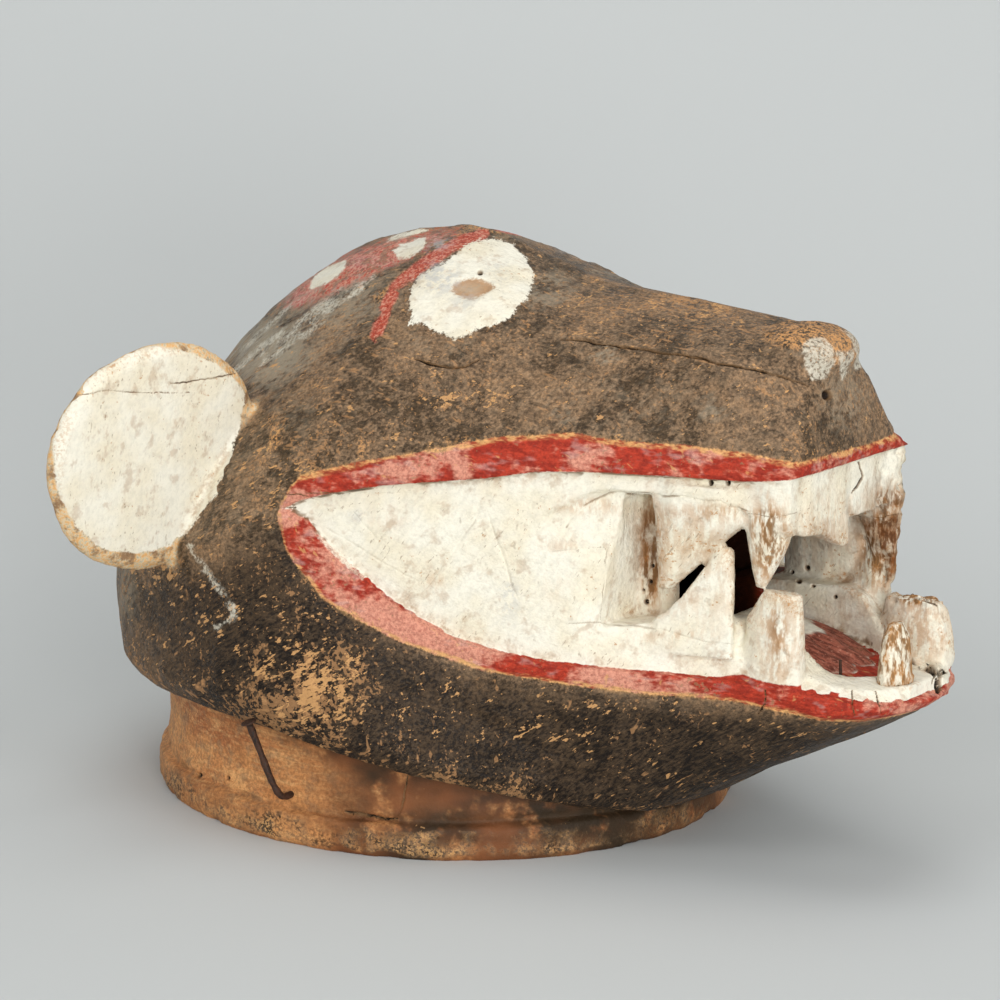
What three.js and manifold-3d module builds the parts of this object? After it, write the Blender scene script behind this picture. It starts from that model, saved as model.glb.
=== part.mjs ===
// Carved helmet mask of a hyena head with an open mouth, round ears and a ring collar.
// Millimetres. +X runs to the snout, +Y to the wearer's left, +Z up, origin under the middle of the box.
import * as THREE from 'three';
import { mergeVertices } from 'three/addons/utils/BufferGeometryUtils.js';
import Module from 'manifold-3d';

const wasm = await Module();
wasm.setup();

// All sizes below are measured from the middle of the collar, and the whole mask is then moved by this
const SHIFT_X = -61;

// Collar that sits round the wearer's neck: half length, half width, wall and profile
const COLLAR_A = 145;
const COLLAR_B = 132;
const COLLAR_WALL = 14;
const COLLAR_TOP = 66;
const RIM_HEIGHT = 17;
const RIM_STEP = 3;
const WAIST = 5;

// Skull and muzzle
const BACK_X = -156;
const MOUTH_CORNER_X = 10;
const NOSE_X = 233;
const RECESS = 4.5;
const CHEEK_END = 156;
const CHEEK_LEAN = 8;
const NOSE_PAD = { x: 206, z: 233, long: 22, wide: 28, high: 13 };

// Lower jaw, with the bed between the gums that the tongue lies in
const JAW_X = 278;
const TONGUE_BACK = 170;
const TONGUE_FRONT = 247;
const BED_FLOOR = 92;
const BED_FRONT = 252;
const GUM_WIDTH = 25;

// Hollow for the wearer's head, and the throat that opens it to the mouth
const HOLLOW_TOP = 236;
const HOLLOW_SPRING = 90;
const THROAT = { back: 60, front: 168, right: -42, left: 64, floor: 84, roof: 178 };
const NICHE_RADIUS = 17;
const NICHE_WALL = { back: 149, front: 169, outer: -46, bottom: 104, top: 185 };

// Ears: thick discs that face forward
const EAR_RADIUS = 55;
const EAR_THICK = 10;
const EAR_ROUND = 3;
const EAR = { x: -56, y: 142, z: 175, turn: 73, tilt: 8 };

// Iron nails and the tooth that is set in on its own
const GAP = 0.3;
const SLIVER = 0.15;
const NAIL_RADIUS = 1.7;
const JAW_NAIL = { x: 240, y: -19, z: 92, radius: 1, high: 10.5, root: 8 };
const PEG = { x: 262, y: -9, shoulder: 93.6, top: 120, root: 9 };

// Smooth curve through stations that doesn't overshoot
function curve(...points) {
  const x = points.map((p) => p[0]);
  const y = points.map((p) => p[1]);
  const n = x.length;
  const slope = x.slice(1).map((v, i) => (y[i + 1] - y[i]) / (v - x[i]));
  const tangent = y.map((v, i) => {
    if (i === 0) return slope[0];
    if (i === n - 1) return slope[n - 2];
    if (slope[i - 1] * slope[i] <= 0) return 0;
    return (2 * slope[i - 1] * slope[i]) / (slope[i - 1] + slope[i]);
  });
  return (at) => {
    if (at <= x[0]) return y[0];
    if (at >= x[n - 1]) return y[n - 1];
    let i = 0;
    while (at > x[i + 1]) i += 1;
    const h = x[i + 1] - x[i];
    const t = (at - x[i]) / h;
    const start = (1 + 2 * t) * (1 - t) ** 2 * y[i] + t * (1 - t) ** 2 * h * tangent[i];
    return start + t * t * (3 - 2 * t) * y[i + 1] + t * t * (t - 1) * h * tangent[i + 1];
  };
}

// Top line of the skull and muzzle, and the soft edge where the top turns into the flank
const topZ = curve([-156, 118], [-150, 150], [-139, 180], [-117, 211], [-89, 234], [-55, 254.5], [-20, 267.5],
  [20, 273], [48, 268], [75, 258], [100, 253], [140, 251], [185, 247], [212, 244], [222, 239.5], [226, 222],
  [233, 190]);
const crestY = curve([-156, 12], [-142, 32], [-100, 52], [-50, 62], [0, 62], [50, 56], [75, 52], [100, 49],
  [140, 45], [185, 42], [205, 36], [215, 30], [226, 27], [233, 33]);
const crestZ = curve([-156, 114], [-142, 154], [-117, 176], [-89, 196], [-50, 219], [0, 240], [35, 246],
  [60, 245], [80, 241], [100, 237], [140, 234], [185, 232], [205, 230], [215, 226], [226, 214], [233, 189]);
const flankBulge = curve([-156, 6], [-100, 9], [0, 7], [80, 3], [150, 2], [233, 0]);

// Upper and lower edge of the mouth, which meet at its corner and run on round the back as one line
const sideHalf = [[-156, 34], [-148, 63], [-130, 92], [-98, 117], [-50, 131], [-22, 134], [MOUTH_CORNER_X, 129]];
const sideZ = [[-156, 105], [-90, 118], [-30, 138], [MOUTH_CORNER_X, 157.5]];
const lipHalf = curve(...sideHalf, [17, 127], [42, 119], [66, 110.5], [90, 101], [112, 92], [138, 80.5],
  [170, 67], [196, 58], [221, 52], [233, 49]);
const lipZ = curve(...sideZ, [19, 162], [40, 168], [65, 173], [100, 178], [133, 183], [208, 184], [233, 187]);
const jawHalf = curve(...sideHalf, [20, 127], [42, 122], [66, 115.5], [90, 107], [112, 99], [138, 88],
  [170, 73], [196, 62], [221, 54], [245, 48], [262, 39], [272, 26], [278, 5]);
const jawZ = curve(...sideZ, [20, 154], [29, 145], [44, 133], [68, 116], [90, 105], [112, 100], [138, 97],
  [195, 95], [238, 93], [278, 88]);

// Lower edge of the painted head over the collar, running on into the keel of the jaw
const edgeHalf = curve([-156, 26], [-148, 54], [-128, 86], [-95, 115], [-47, 133], [0, 139], [29, 135],
  [55, 129], [76, 119], [97, 106], [118, 88], [132, 70], [149, 52], [170, 44], [208, 38], [245, 30],
  [270, 16], [278, 3]);
const edgeZ = curve([-156, 64], [-90, 59], [0, 57], [29, 52], [55, 47], [76, 42], [97, 37], [118, 31],
  [132, 26], [149, 25], [170, 33], [208, 53], [245, 71], [270, 82], [278, 86]);
const keelZ = curve([-156, 60], [80, 50], [118, 30], [132, 20], [149, 16], [173, 27], [194, 40], [208, 47],
  [229, 58], [249, 68], [260, 74], [270, 80], [278, 86]);
const jowlBulge = curve([-156, 0], [0, 2], [100, 0], [140, -6], [200, -5], [278, 0]);

// Gums
const upperGumLow = curve([121, 157], [130, 164], [140, 171], [150, 174], [198, 174], [212, 167], [224, 161]);
const lowerGumTop = curve([136, 112], [150, 114], [200, 119], [214, 120], [224, 112], [236, 99], [250, 95],
  [270, 94]);
const gumSlope = curve([136, 0.12], [160, 0.2], [185, 0.35], [215, 0.45], [250, 0.9]);
const archInset = curve([-30, 10], [-10, RECESS], [112, RECESS], [126, 6.5], [140, 9], [158, 9]);
const cheekInset = curve([-30, 10], [-10, RECESS], [158, RECESS]);

// Half width of the white face of cheek and gum at a height between the lips
function whiteFace(x, z) {
  const t = THREE.MathUtils.clamp((lipZ(x) - z) / Math.max(1, lipZ(x) - jawZ(x)), 0, 1);
  return lipHalf(x) + (jawHalf(x) - lipHalf(x)) * t + 5 * t * (1 - t) - RECESS;
}

// Catmull-Rom through section points, each gap split into equal steps
function smooth(points, steps) {
  const out = [];
  const at = (i) => points[Math.min(points.length - 1, Math.max(0, i))];
  for (let i = 0; i < points.length - 1; i += 1) {
    const p = [at(i - 1), at(i), at(i + 1), at(i + 2)];
    for (let k = 0; k < steps; k += 1) {
      const t = k / steps;
      out.push([0, 1].map((c) => {
        const v = p.map((q) => q[c]);
        const low = 2 * v[1] + (v[2] - v[0]) * t + (2 * v[0] - 5 * v[1] + 4 * v[2] - v[3]) * t * t;
        return 0.5 * (low + (3 * v[1] - 3 * v[2] + v[3] - v[0]) * t ** 3);
      }));
    }
  }
  out.push(at(points.length - 1));
  return out;
}

// Stations along X, closer together near both ends
function stations(from, to, count, ends = 0.6) {
  return Array.from({ length: count }, (_, i) => {
    const t = i / (count - 1);
    const eased = (1 - Math.cos(Math.PI * t)) / 2;
    return from + (to - from) * (t * (1 - ends) + eased * ends);
  });
}

// Stations that the skull and the jaw share behind the corner of the mouth, and then their own
function headStations(front, count) {
  const back = Array.from({ length: 13 }, (_, i) => {
    const t = 1 - i / 13;
    return MOUTH_CORNER_X - (MOUTH_CORNER_X - BACK_X) * Math.sin((Math.PI / 2) * t ** 0.9);
  });
  return [...back, ...stations(MOUTH_CORNER_X, front, count, 0.5)];
}

// Closed solid through a row of rings that all have the same number of points
function loft(rings) {
  const count = rings[0].length;
  const position = rings.flat(2);
  const index = [];
  const ring = (i, k) => i * count + (k % count);
  for (let i = 0; i < rings.length - 1; i += 1) {
    for (let k = 0; k < count; k += 1) {
      index.push(ring(i, k), ring(i + 1, k), ring(i + 1, k + 1));
      index.push(ring(i, k), ring(i + 1, k + 1), ring(i, k + 1));
    }
  }
  [0, rings.length - 1].forEach((i) => {
    const centre = position.length / 3;
    position.push(...[0, 1, 2].map((c) => rings[i].reduce((sum, p) => sum + p[c], 0) / count));
    for (let k = 0; k < count; k += 1) {
      if (i) index.push(centre, ring(i, k + 1), ring(i, k));
      else index.push(centre, ring(i, k), ring(i, k + 1));
    }
  });
  const geometry = new THREE.BufferGeometry();
  geometry.setAttribute('position', new THREE.Float32BufferAttribute(position, 3));
  geometry.setIndex(index);
  return geometry;
}

// Ring at one X from the half section on +Y, listed from the middle round to the middle again
function mirrored(half, x) {
  const left = half.map(([y, z]) => [x, y, z]);
  const right = half.slice(1, -1).reverse().map(([y, z]) => [x, -y, z]);
  return left.concat(right).reverse();
}

// Rectangle ring at one height, with this share of each side cut off at its corners
function block(z, x0, x1, y0, y1, cut = 0.28) {
  const x = (t) => x0 + (x1 - x0) * t;
  const y = (t) => y0 + (y1 - y0) * t;
  return [[cut, 0], [1 - cut, 0], [1, cut], [1, 1 - cut], [1 - cut, 1], [cut, 1], [0, 1 - cut], [0, cut]]
    .map(([a, b]) => [x(a), y(b), z]);
}

// Manifold of a closed geometry, turned inside out where its faces point inwards
function solid(geometry) {
  const clean = geometry.clone();
  clean.deleteAttribute('normal');
  clean.deleteAttribute('uv');
  const merged = mergeVertices(clean, 1e-4);
  const p = merged.attributes.position;
  const triangles = Array.from(merged.index.array);
  const [a, b, c] = [0, 1, 2].map(() => new THREE.Vector3());
  let volume = 0;
  for (let i = 0; i < triangles.length; i += 3) {
    [a, b, c].forEach((v, k) => v.fromBufferAttribute(p, triangles[i + k]));
    volume += a.dot(b.cross(c));
  }
  if (volume < 0) triangles.reverse();
  return new wasm.Manifold(new wasm.Mesh({
    numProp: 3,
    vertProperties: new Float32Array(p.array),
    triVerts: new Uint32Array(triangles),
  }));
}

function toGeometry(manifold) {
  const mesh = manifold.getMesh();
  const geometry = new THREE.BufferGeometry();
  geometry.setAttribute('position', new THREE.Float32BufferAttribute(mesh.vertProperties, 3));
  geometry.setIndex(Array.from(mesh.triVerts));
  return geometry;
}

function box(x0, x1, y0, y1, z0, z1) {
  const made = new THREE.BoxGeometry(x1 - x0, y1 - y0, z1 - z0);
  return made.translate((x0 + x1) / 2, (y0 + y1) / 2, (z0 + z1) / 2);
}

// Lathe about +Z, squashed from the collar's half length to its half width
function ovalLathe(profile, segments) {
  const made = new THREE.LatheGeometry(profile.map(([r, z]) => new THREE.Vector2(r, z)), segments);
  return made.rotateX(Math.PI / 2).scale(1, COLLAR_B / COLLAR_A, 1);
}

function upperHead() {
  return loft(headStations(NOSE_X, 15).map((x) => {
    const top = topZ(x);
    const crest = [crestY(x), crestZ(x)];
    const lip = [lipHalf(x), lipZ(x)];
    const flank = [(crest[0] + lip[0]) / 2 + flankBulge(x), (crest[1] + lip[1]) / 2];
    const half = smooth([[0, top], [crest[0] * 0.5, top * 0.68 + crest[1] * 0.32], crest, flank, lip], 3);
    half.push([lip[0] * 0.8, lip[1]], [0, lip[1]]);
    return mirrored(half, x);
  }));
}

function lowerJaw() {
  return loft(headStations(JAW_X, 18).map((x) => {
    const lip = [jawHalf(x), jawZ(x)];
    const edge = [edgeHalf(x), edgeZ(x)];
    const jowl = [Math.max(lip[0], edge[0]) + jowlBulge(x), (lip[1] + edge[1]) / 2];
    const under = [edge[0] * 0.55, edge[1] * 0.35 + keelZ(x) * 0.65];
    const half = smooth([lip, jowl, edge, under, [0, keelZ(x)]], 3);
    half.unshift([0, lip[1]], [lip[0] * 0.8, lip[1]]);
    return mirrored(half, x);
  }));
}

// Solid cheek between the lips, set back behind them
function cheeks() {
  return loft([-120, ...stations(-40, CHEEK_END, 15, 0)].map((x) => {
    const top = lipHalf(x) - archInset(x);
    const low = jawHalf(x) - cheekInset(x);
    const face = [0.3, 0.45, 0.75].map((t) => {
      const z = lipZ(x) + (jawZ(x) - lipZ(x)) * t;
      return [whiteFace(x, z) + RECESS - (t > 0.4 ? cheekInset(x) : archInset(x) * 0.6 + cheekInset(x) * 0.4), z];
    });
    const ring = mirrored([[0, lipZ(x) + 6], [top - 2, lipZ(x) + 6], [top, lipZ(x)], ...face, [low, jawZ(x)],
      [low - 2, jawZ(x) - 6], [0, jawZ(x) - 6]], x);
    const lean = x > CHEEK_END - 1 ? CHEEK_LEAN : 0;
    return ring.map(([, y, z]) => [x - lean * THREE.MathUtils.clamp((172 - z) / 60, 0, 1), y, z]);
  }));
}

function collar() {
  const outer = [[COLLAR_A - 1.5, 0], [COLLAR_A, 2.5], [COLLAR_A - 0.4, RIM_HEIGHT - 1.5],
    [COLLAR_A - RIM_STEP, RIM_HEIGHT + 0.5], [COLLAR_A - WAIST, 30], [COLLAR_A - WAIST, 44],
    [COLLAR_A - 2, COLLAR_TOP - 6], [COLLAR_A - 4, COLLAR_TOP]];
  const inner = [[COLLAR_A - COLLAR_WALL - 8, COLLAR_TOP], [COLLAR_A - COLLAR_WALL - 8, 0]];
  return ovalLathe([...outer, ...inner, outer[0]], 64);
}

// Dome over the wearer's head, straight down through the collar
function hollow() {
  const inner = COLLAR_A - COLLAR_WALL;
  const levels = 9;
  const dome = Array.from({ length: levels }, (_, i) => {
    const h = i / (levels - 1);
    const rise = 1 - (1 - h) ** 1.6;
    return [inner * (1 - rise ** 1.6) ** 0.85, HOLLOW_SPRING + (HOLLOW_TOP - HOLLOW_SPRING) * rise];
  });
  dome[levels - 1][0] = 0;
  return ovalLathe([[0, -5], [inner, -5], ...dome], 56);
}

function ear(side) {
  const half = EAR_THICK / 2;
  const profile = [[0, -half], [EAR_RADIUS - EAR_ROUND * 1.6, -half], [EAR_RADIUS - 0.6, -half + EAR_ROUND],
    [EAR_RADIUS, 0], [EAR_RADIUS - 0.6, half - EAR_ROUND], [EAR_RADIUS - EAR_ROUND * 1.6, half], [0, half]];
  const disc = new THREE.LatheGeometry(profile.map(([r, z]) => new THREE.Vector2(r, z)), 44);
  const turn = THREE.MathUtils.degToRad(EAR.turn);
  disc.rotateX(THREE.MathUtils.degToRad(EAR.tilt));
  return disc.rotateZ(side < 0 ? turn : Math.PI - turn).translate(EAR.x, side * EAR.y, EAR.z);
}

function nosePad() {
  const pad = new THREE.SphereGeometry(1, 20, 12);
  return pad.scale(NOSE_PAD.long, NOSE_PAD.wide, NOSE_PAD.high).translate(NOSE_PAD.x, 0, NOSE_PAD.z);
}

// Gum under the upper lip, which starts as an arch on the cheek and has the palate inside it
function upperGum() {
  const front = NOSE_X - 3;
  const ring = solid(loft(stations(121, front, 14, 0.3).map((x) => {
    const outer = lipHalf(x) - (x > front - 12 ? 2 : RECESS);
    const low = upperGumLow(x);
    return mirrored([[0, lipZ(x) + 5], [outer - 3, lipZ(x) + 5], [outer, lipZ(x) - 1],
      [whiteFace(x, low + 2), low + 2], [whiteFace(x, low) - 3, low], [0, low]], x);
  })));
  const palate = solid(loft(stations(100, front - 16, 5, 0).map((x) => {
    const inner = lipHalf(x) - GUM_WIDTH;
    return mirrored([[0, 186], [inner - 4, 186], [inner, 168], [inner, 140], [0, 140]], x);
  })));
  return ring.subtract(palate);
}

// Gum that slopes up from the lower lip and goes round the bed of the tongue
function lowerGum() {
  const ring = solid(loft(stations(136, JAW_X - 5, 18, 0.3).map((x) => {
    const outer = jawHalf(x) - RECESS;
    const top = lowerGumTop(x);
    const slope = (top - jawZ(x)) * gumSlope(x);
    return mirrored([[0, top], [outer - slope - 2, top], [outer - slope, top - 2], [outer, jawZ(x) + 0.5],
      [outer, jawZ(x) - 6], [0, jawZ(x) - 6]], x);
  })));
  const bedHalf = curve([125, 46], [160, 40], [200, 34], [232, 31], [246, 24], [BED_FRONT, 14]);
  const bed = solid(loft(stations(125, BED_FRONT, 8).map((x) => {
    const inner = bedHalf(x);
    return mirrored([[0, 130], [inner, 130], [inner - 3, BED_FLOOR], [0, BED_FLOOR]], x);
  })));
  return ring.subtract(bed);
}

function tongue() {
  const height = curve([TONGUE_BACK, 108], [200, 106], [230, 97], [TONGUE_FRONT, 91]);
  const half = curve([TONGUE_BACK, 31], [220, 29], [238, 22], [TONGUE_FRONT, 10]);
  return loft(stations(TONGUE_BACK, TONGUE_FRONT, 9, 0.3).map((x) => {
    const w = half(x);
    const top = height(x);
    return mirrored([[0, top - 0.6], [w * 0.45, top], [w * 0.85, top - 3], [w, top - 7], [w, 84], [0, 84]], x);
  }));
}

// Teeth that are carved from the same wood, each as blocks from root to tip: z, x from, x to, y from, y to,
// and the share of each side that is cut off at the corners
const TEETH = {
  upperRight: [[180, 165, 211, -55, -38], [165, 168, 208, -54, -39.5], [131, 168.5, 173.5, -48.5, -43.5]],
  upperLeft: [[180, 160, 216, 38, 54], [150, 161, 214, 38.5, 53], [137, 161, 212, 39, 52],
    [111, 162, 192, 40, 51], [103, 164.5, 179, 41, 50]],
  fangRight: [[184, 205, 229, -50, -33], [165, 206, 229, -50, -36], [150, 209, 223.5, -49, -38],
    [136, 212, 216, -46, -42]],
  fangLeft: [[184, 205, 232, 33, 51], [160, 207, 232, 36, 51], [122, 222, 228, 42, 47]],
  incisor: [[184, 217, 231, -37, 0, 0.1], [164, 219, 231.6, -37, 0, 0.1], [159.5, 221, 231.8, -36.5, 0, 0.1],
    [158, 222, 231.8, -23, 0, 0.1], [149.5, 227.5, 231.6, -6, -1, 0.1]],
  lowerRight: [[104, 160, 210.5, -57, -38, 0.12], [118.5, 170, 210, -54.5, -39, 0.12],
    [121, 174, 205.5, -54, -39.5, 0.15], [130, 182, 205, -53, -40.5, 0.15], [144, 191, 204, -51.5, -42, 0.2],
    [152, 194.5, 201, -50, -45]],
  lowerLeft: [[98, 180, 231, 43, 56], [112, 188, 228, 43.5, 55.5], [130, 200, 224, 44.5, 54.5],
    [150, 210, 217, 46, 53]],
  stubRight: [[90, 206, 237, -53, -37], [122, 209, 236, -51, -39], [135.5, 218, 235.5, -50, -41]],
  stubLeft: [[82, 224, 259, 27, 40], [92, 226, 264, 27, 42, 0.2], [104, 227, 263, 28, 42, 0.2],
    [121, 232, 259, 29.5, 41, 0.2]],
};

// The long teeth lie along the lips, so they draw together towards the nose from this X on
const LONG_TEETH = ['upperRight', 'upperLeft', 'lowerRight', 'lowerLeft'];
const ROW_TAPER = 0.27;
const ROW_X = 205;

// The front of the lower right tooth is cut back along this plane, so that it narrows inwards
const TOOTH_CUT = { normal: [-0.83, -0.558, 0], offset: -141.2 };

// Tube of eight sides along a path
function tube(points, radius) {
  const outline = new THREE.Shape();
  for (let k = 0; k < 8; k += 1) {
    const a = (k / 8) * Math.PI * 2;
    if (k) outline.lineTo(radius * Math.cos(a), radius * Math.sin(a));
    else outline.moveTo(radius, 0);
  }
  const path = new THREE.CatmullRomCurve3(points.map((p) => new THREE.Vector3(...p)));
  return new THREE.ExtrudeGeometry(outline, { steps: 14, bevelEnabled: false, extrudePath: path });
}

// Long nail that was driven into the collar and bent up against it
const NAIL_PATH = [[12, -121, 24], [12.3, -128, 22.5], [12, -134, 23.5], [9.5, -137.5, 31], [5.5, -141, 46],
  [2.5, -144.6, 59]];

function collarNail() {
  const end = NAIL_PATH[NAIL_PATH.length - 1];
  const before = NAIL_PATH[NAIL_PATH.length - 2];
  const along = new THREE.Vector3(...end).sub(new THREE.Vector3(...before)).normalize();
  const cap = new THREE.CylinderGeometry(3.6, 3.4, 2, 12);
  cap.applyQuaternion(new THREE.Quaternion().setFromUnitVectors(new THREE.Vector3(0, 1, 0), along));
  return solid(tube(NAIL_PATH, NAIL_RADIUS)).add(solid(cap.translate(...end)));
}

function upright(x, y, z0, z1, radius, tip = radius) {
  const made = new THREE.CylinderGeometry(tip, radius, z1 - z0, 10);
  return made.rotateX(Math.PI / 2).translate(x, y, (z0 + z1) / 2);
}

function pegTooth() {
  const ring = (z, a, b) => Array.from({ length: 12 }, (_, k) => {
    const t = (k / 12) * Math.PI * 2;
    return [PEG.x + a * Math.cos(t), PEG.y + b * Math.sin(t), z];
  });
  return loft([ring(PEG.shoulder - PEG.root, 4, 5.5), ring(PEG.shoulder, 4.6, 6.5), ring(PEG.shoulder, 7, 10),
    ring(106, 6.2, 9), ring(115, 4.8, 7.4), ring(PEG.top, 2.6, 4.6)]);
}

// One block of wood: the outer shape, then the hollows, then what is left standing in the mouth
let carving = solid(upperHead()).add(solid(lowerJaw())).add(solid(cheeks())).add(solid(collar()));
carving = carving.add(solid(ear(-1))).add(solid(ear(1))).add(solid(nosePad()));
carving = carving.subtract(solid(hollow()));
carving = carving.subtract(solid(box(THROAT.back, THROAT.front, THROAT.right, THROAT.left, THROAT.floor,
  THROAT.roof)));
carving = carving.subtract(solid(upright(CHEEK_END + 13, -57, 108, 171, NICHE_RADIUS)));
carving = carving.add(solid(box(NICHE_WALL.back, NICHE_WALL.front, NICHE_WALL.outer, THROAT.right,
  NICHE_WALL.bottom, NICHE_WALL.top)));
carving = carving.add(upperGum()).add(lowerGum()).add(solid(tongue()));
Object.entries(TEETH).forEach(([name, levels]) => {
  const taper = LONG_TEETH.includes(name) ? ROW_TAPER : 0;
  const rings = levels.map((level) => block(...level).map(([x, y, z]) => [
    x, y - Math.sign(y) * taper * (x - ROW_X), z,
  ]));
  const tooth = solid(loft(rings));
  carving = carving.add(name === 'lowerRight' ? tooth.trimByPlane(TOOTH_CUT.normal, TOOTH_CUT.offset) : tooth);
});

// Holes that the nails and the loose tooth sit in
const jawNailHole = upright(JAW_NAIL.x, JAW_NAIL.y, JAW_NAIL.z - JAW_NAIL.root - GAP, JAW_NAIL.z + 20,
  JAW_NAIL.radius + GAP);
carving = carving.subtract(solid(tube(NAIL_PATH, NAIL_RADIUS + GAP)));
carving = carving.subtract(solid(jawNailHole));
const pegHole = upright(0, 0, PEG.shoulder - PEG.root - GAP, PEG.top, 1).scale(5.2, 7.2, 1);
const pegSeat = upright(0, 0, PEG.shoulder - GAP, PEG.top, 1).scale(7.8, 11, 1);
carving = carving.subtract(solid(pegHole.translate(PEG.x, PEG.y, 0)));
carving = carving.subtract(solid(pegSeat.translate(PEG.x, PEG.y, 0)));

// Slivers that the cuts leave along shallow crossings go
carving = carving.asOriginal().simplify(SLIVER);

const paintedWood = new THREE.MeshStandardMaterial({ color: 0x3b2d24, roughness: 0.72, metalness: 0 });
const toothWood = new THREE.MeshStandardMaterial({ color: 0xcfc3a4, roughness: 0.8, metalness: 0 });
const iron = new THREE.MeshStandardMaterial({ color: 0x33241d, roughness: 0.65, metalness: 0.6 });

const mask = new THREE.Group();
mask.position.x = SHIFT_X;

function place(name, geometry, material) {
  const mesh = new THREE.Mesh(geometry, material);
  mesh.name = name;
  mask.add(mesh);
}

place('head', toGeometry(carving), paintedWood);
place('collar_nail', toGeometry(collarNail()), iron);
place('jaw_nail', upright(JAW_NAIL.x, JAW_NAIL.y, JAW_NAIL.z - JAW_NAIL.root, JAW_NAIL.z + JAW_NAIL.high,
  JAW_NAIL.radius, JAW_NAIL.radius * 0.7), iron);
place('front_tooth', toGeometry(solid(pegTooth())), toothWood);

export default mask;
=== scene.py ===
"""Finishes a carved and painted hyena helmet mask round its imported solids."""

import math

import bmesh
import bpy
import numpy as np
from mathutils import Matrix, Vector
from mathutils.bvhtree import BVHTree
from mathutils.kdtree import KDTree


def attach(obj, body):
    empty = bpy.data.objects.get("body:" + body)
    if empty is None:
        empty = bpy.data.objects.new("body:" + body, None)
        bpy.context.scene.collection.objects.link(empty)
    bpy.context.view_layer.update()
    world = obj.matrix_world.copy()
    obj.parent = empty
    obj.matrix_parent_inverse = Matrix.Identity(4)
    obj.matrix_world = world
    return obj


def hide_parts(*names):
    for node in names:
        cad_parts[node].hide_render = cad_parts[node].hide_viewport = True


bl_info = {
    "name": "Hyena helmet mask",
    "version": (1, 0, 0),
    "blender": (4, 5, 0),
    "location": "View3D > Sidebar > Mask",
    "description": "Carves, cracks and paints a wooden hyena mask round its solids",
    "category": "Object",
}

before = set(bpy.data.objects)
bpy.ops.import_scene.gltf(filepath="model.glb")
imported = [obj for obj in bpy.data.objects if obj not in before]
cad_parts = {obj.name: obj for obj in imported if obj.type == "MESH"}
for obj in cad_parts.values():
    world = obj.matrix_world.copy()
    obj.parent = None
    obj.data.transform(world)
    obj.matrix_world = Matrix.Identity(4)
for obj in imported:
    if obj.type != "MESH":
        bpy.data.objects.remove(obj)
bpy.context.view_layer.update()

# Everything on the mask is measured in millimetres from the middle of the collar
MM = 0.001
COLLAR_CENTRE = np.array([-61.0, 0.0, 0.0])

# Collar and hollow
COLLAR_LONG = 145.0
COLLAR_WIDE = 132.0
HOLLOW_LONG = 131.0
HOLLOW_SPRING = 90.0
HOLLOW_RISE = 146.0
RIM_HEIGHT = 17.0

# Ear discs
EAR_CENTRE = np.array([-56.0, 142.0, 175.0])
EAR_TURN = math.radians(73)
EAR_TILT = math.radians(8)
EAR_RADIUS = 55.0
EAR_THICK = 10.0

# Mouth
MOUTH_CORNER = 10.0
NOSE_FRONT = 233.0
LIP_STEP = 4.5

# The marks are laid out on a plate of 1000 by 1000 that faces the mask from its right front
PLATE_AZIMUTH = math.radians(38)
PLATE_ELEVATION = math.radians(12.8)
PLATE_DISTANCE = 1600.0
PLATE_FOCUS = 3345.0
PLATE_CENTRE = np.array([35.0, 0.0, 142.0])
PLATE_MM = PLATE_DISTANCE / PLATE_FOCUS


def paint(red, green, blue):
    """Linear colour of a screen colour given as three numbers up to 255."""
    scale = [c / 255 for c in (red, green, blue)]
    return tuple(c / 12.92 if c < 0.04045 else ((c + 0.055) / 1.055) ** 2.4 for c in scale)


# Curves along the mask


def curve(*stations):
    """Smooth function through (x, value) stations that doesn't overshoot."""
    x, y = np.array(stations, float).T
    step = np.diff(x)
    slope = np.diff(y) / step
    tangent = np.zeros(len(x))
    tangent[0], tangent[-1] = slope[0], slope[-1]
    before, after = slope[:-1], slope[1:]
    same = before * after > 0
    tangent[1:-1][same] = 2 * before[same] * after[same] / (before[same] + after[same])

    def at(values):
        v = np.clip(values, x[0], x[-1])
        i = np.clip(np.searchsorted(x, v) - 1, 0, len(step) - 1)
        t = (v - x[i]) / step[i]
        low = (1 + 2 * t) * (1 - t) ** 2 * y[i] + t * (1 - t) ** 2 * step[i] * tangent[i]
        high = t * t * (3 - 2 * t) * y[i + 1] + t * t * (t - 1) * step[i] * tangent[i + 1]
        return low + high

    return at


SIDE_HALF = [(-156, 34), (-148, 63), (-130, 92), (-98, 117), (-50, 131), (-22, 134), (10, 129)]
SIDE_HEIGHT = [(-156, 105), (-90, 118), (-30, 138), (10, 157.5)]
lip_half = curve(
    *SIDE_HALF, (17, 127), (42, 119), (66, 110.5), (90, 101), (112, 92), (138, 80.5), (170, 67),
    (196, 58), (221, 52), (233, 49),
)
lip_height = curve(
    *SIDE_HEIGHT, (19, 162), (40, 168), (65, 173), (100, 178), (133, 183), (208, 184), (233, 187)
)
jaw_half = curve(
    *SIDE_HALF, (20, 127), (42, 122), (66, 115.5), (90, 107), (112, 99), (138, 88), (170, 73),
    (196, 62), (221, 54), (245, 48), (262, 39), (272, 26), (278, 5),
)
jaw_height = curve(
    *SIDE_HEIGHT, (20, 154), (29, 145), (44, 133), (68, 116), (90, 105), (112, 100), (138, 97),
    (195, 95), (238, 93), (278, 88),
)
paint_edge_height = curve(
    (-156, 64), (-90, 59), (0, 57), (29, 52), (55, 47), (76, 42), (97, 37), (118, 31), (132, 26),
    (149, 25), (170, 33), (208, 53), (245, 71), (270, 82), (278, 86),
)
tongue_half = curve((166, 31), (220, 29), (238, 22), (249, 9), (251, -2))
lower_gum_top = curve((136, 112), (150, 114), (200, 119), (214, 120), (224, 112), (236, 99), (250, 95), (270, 94))

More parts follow.
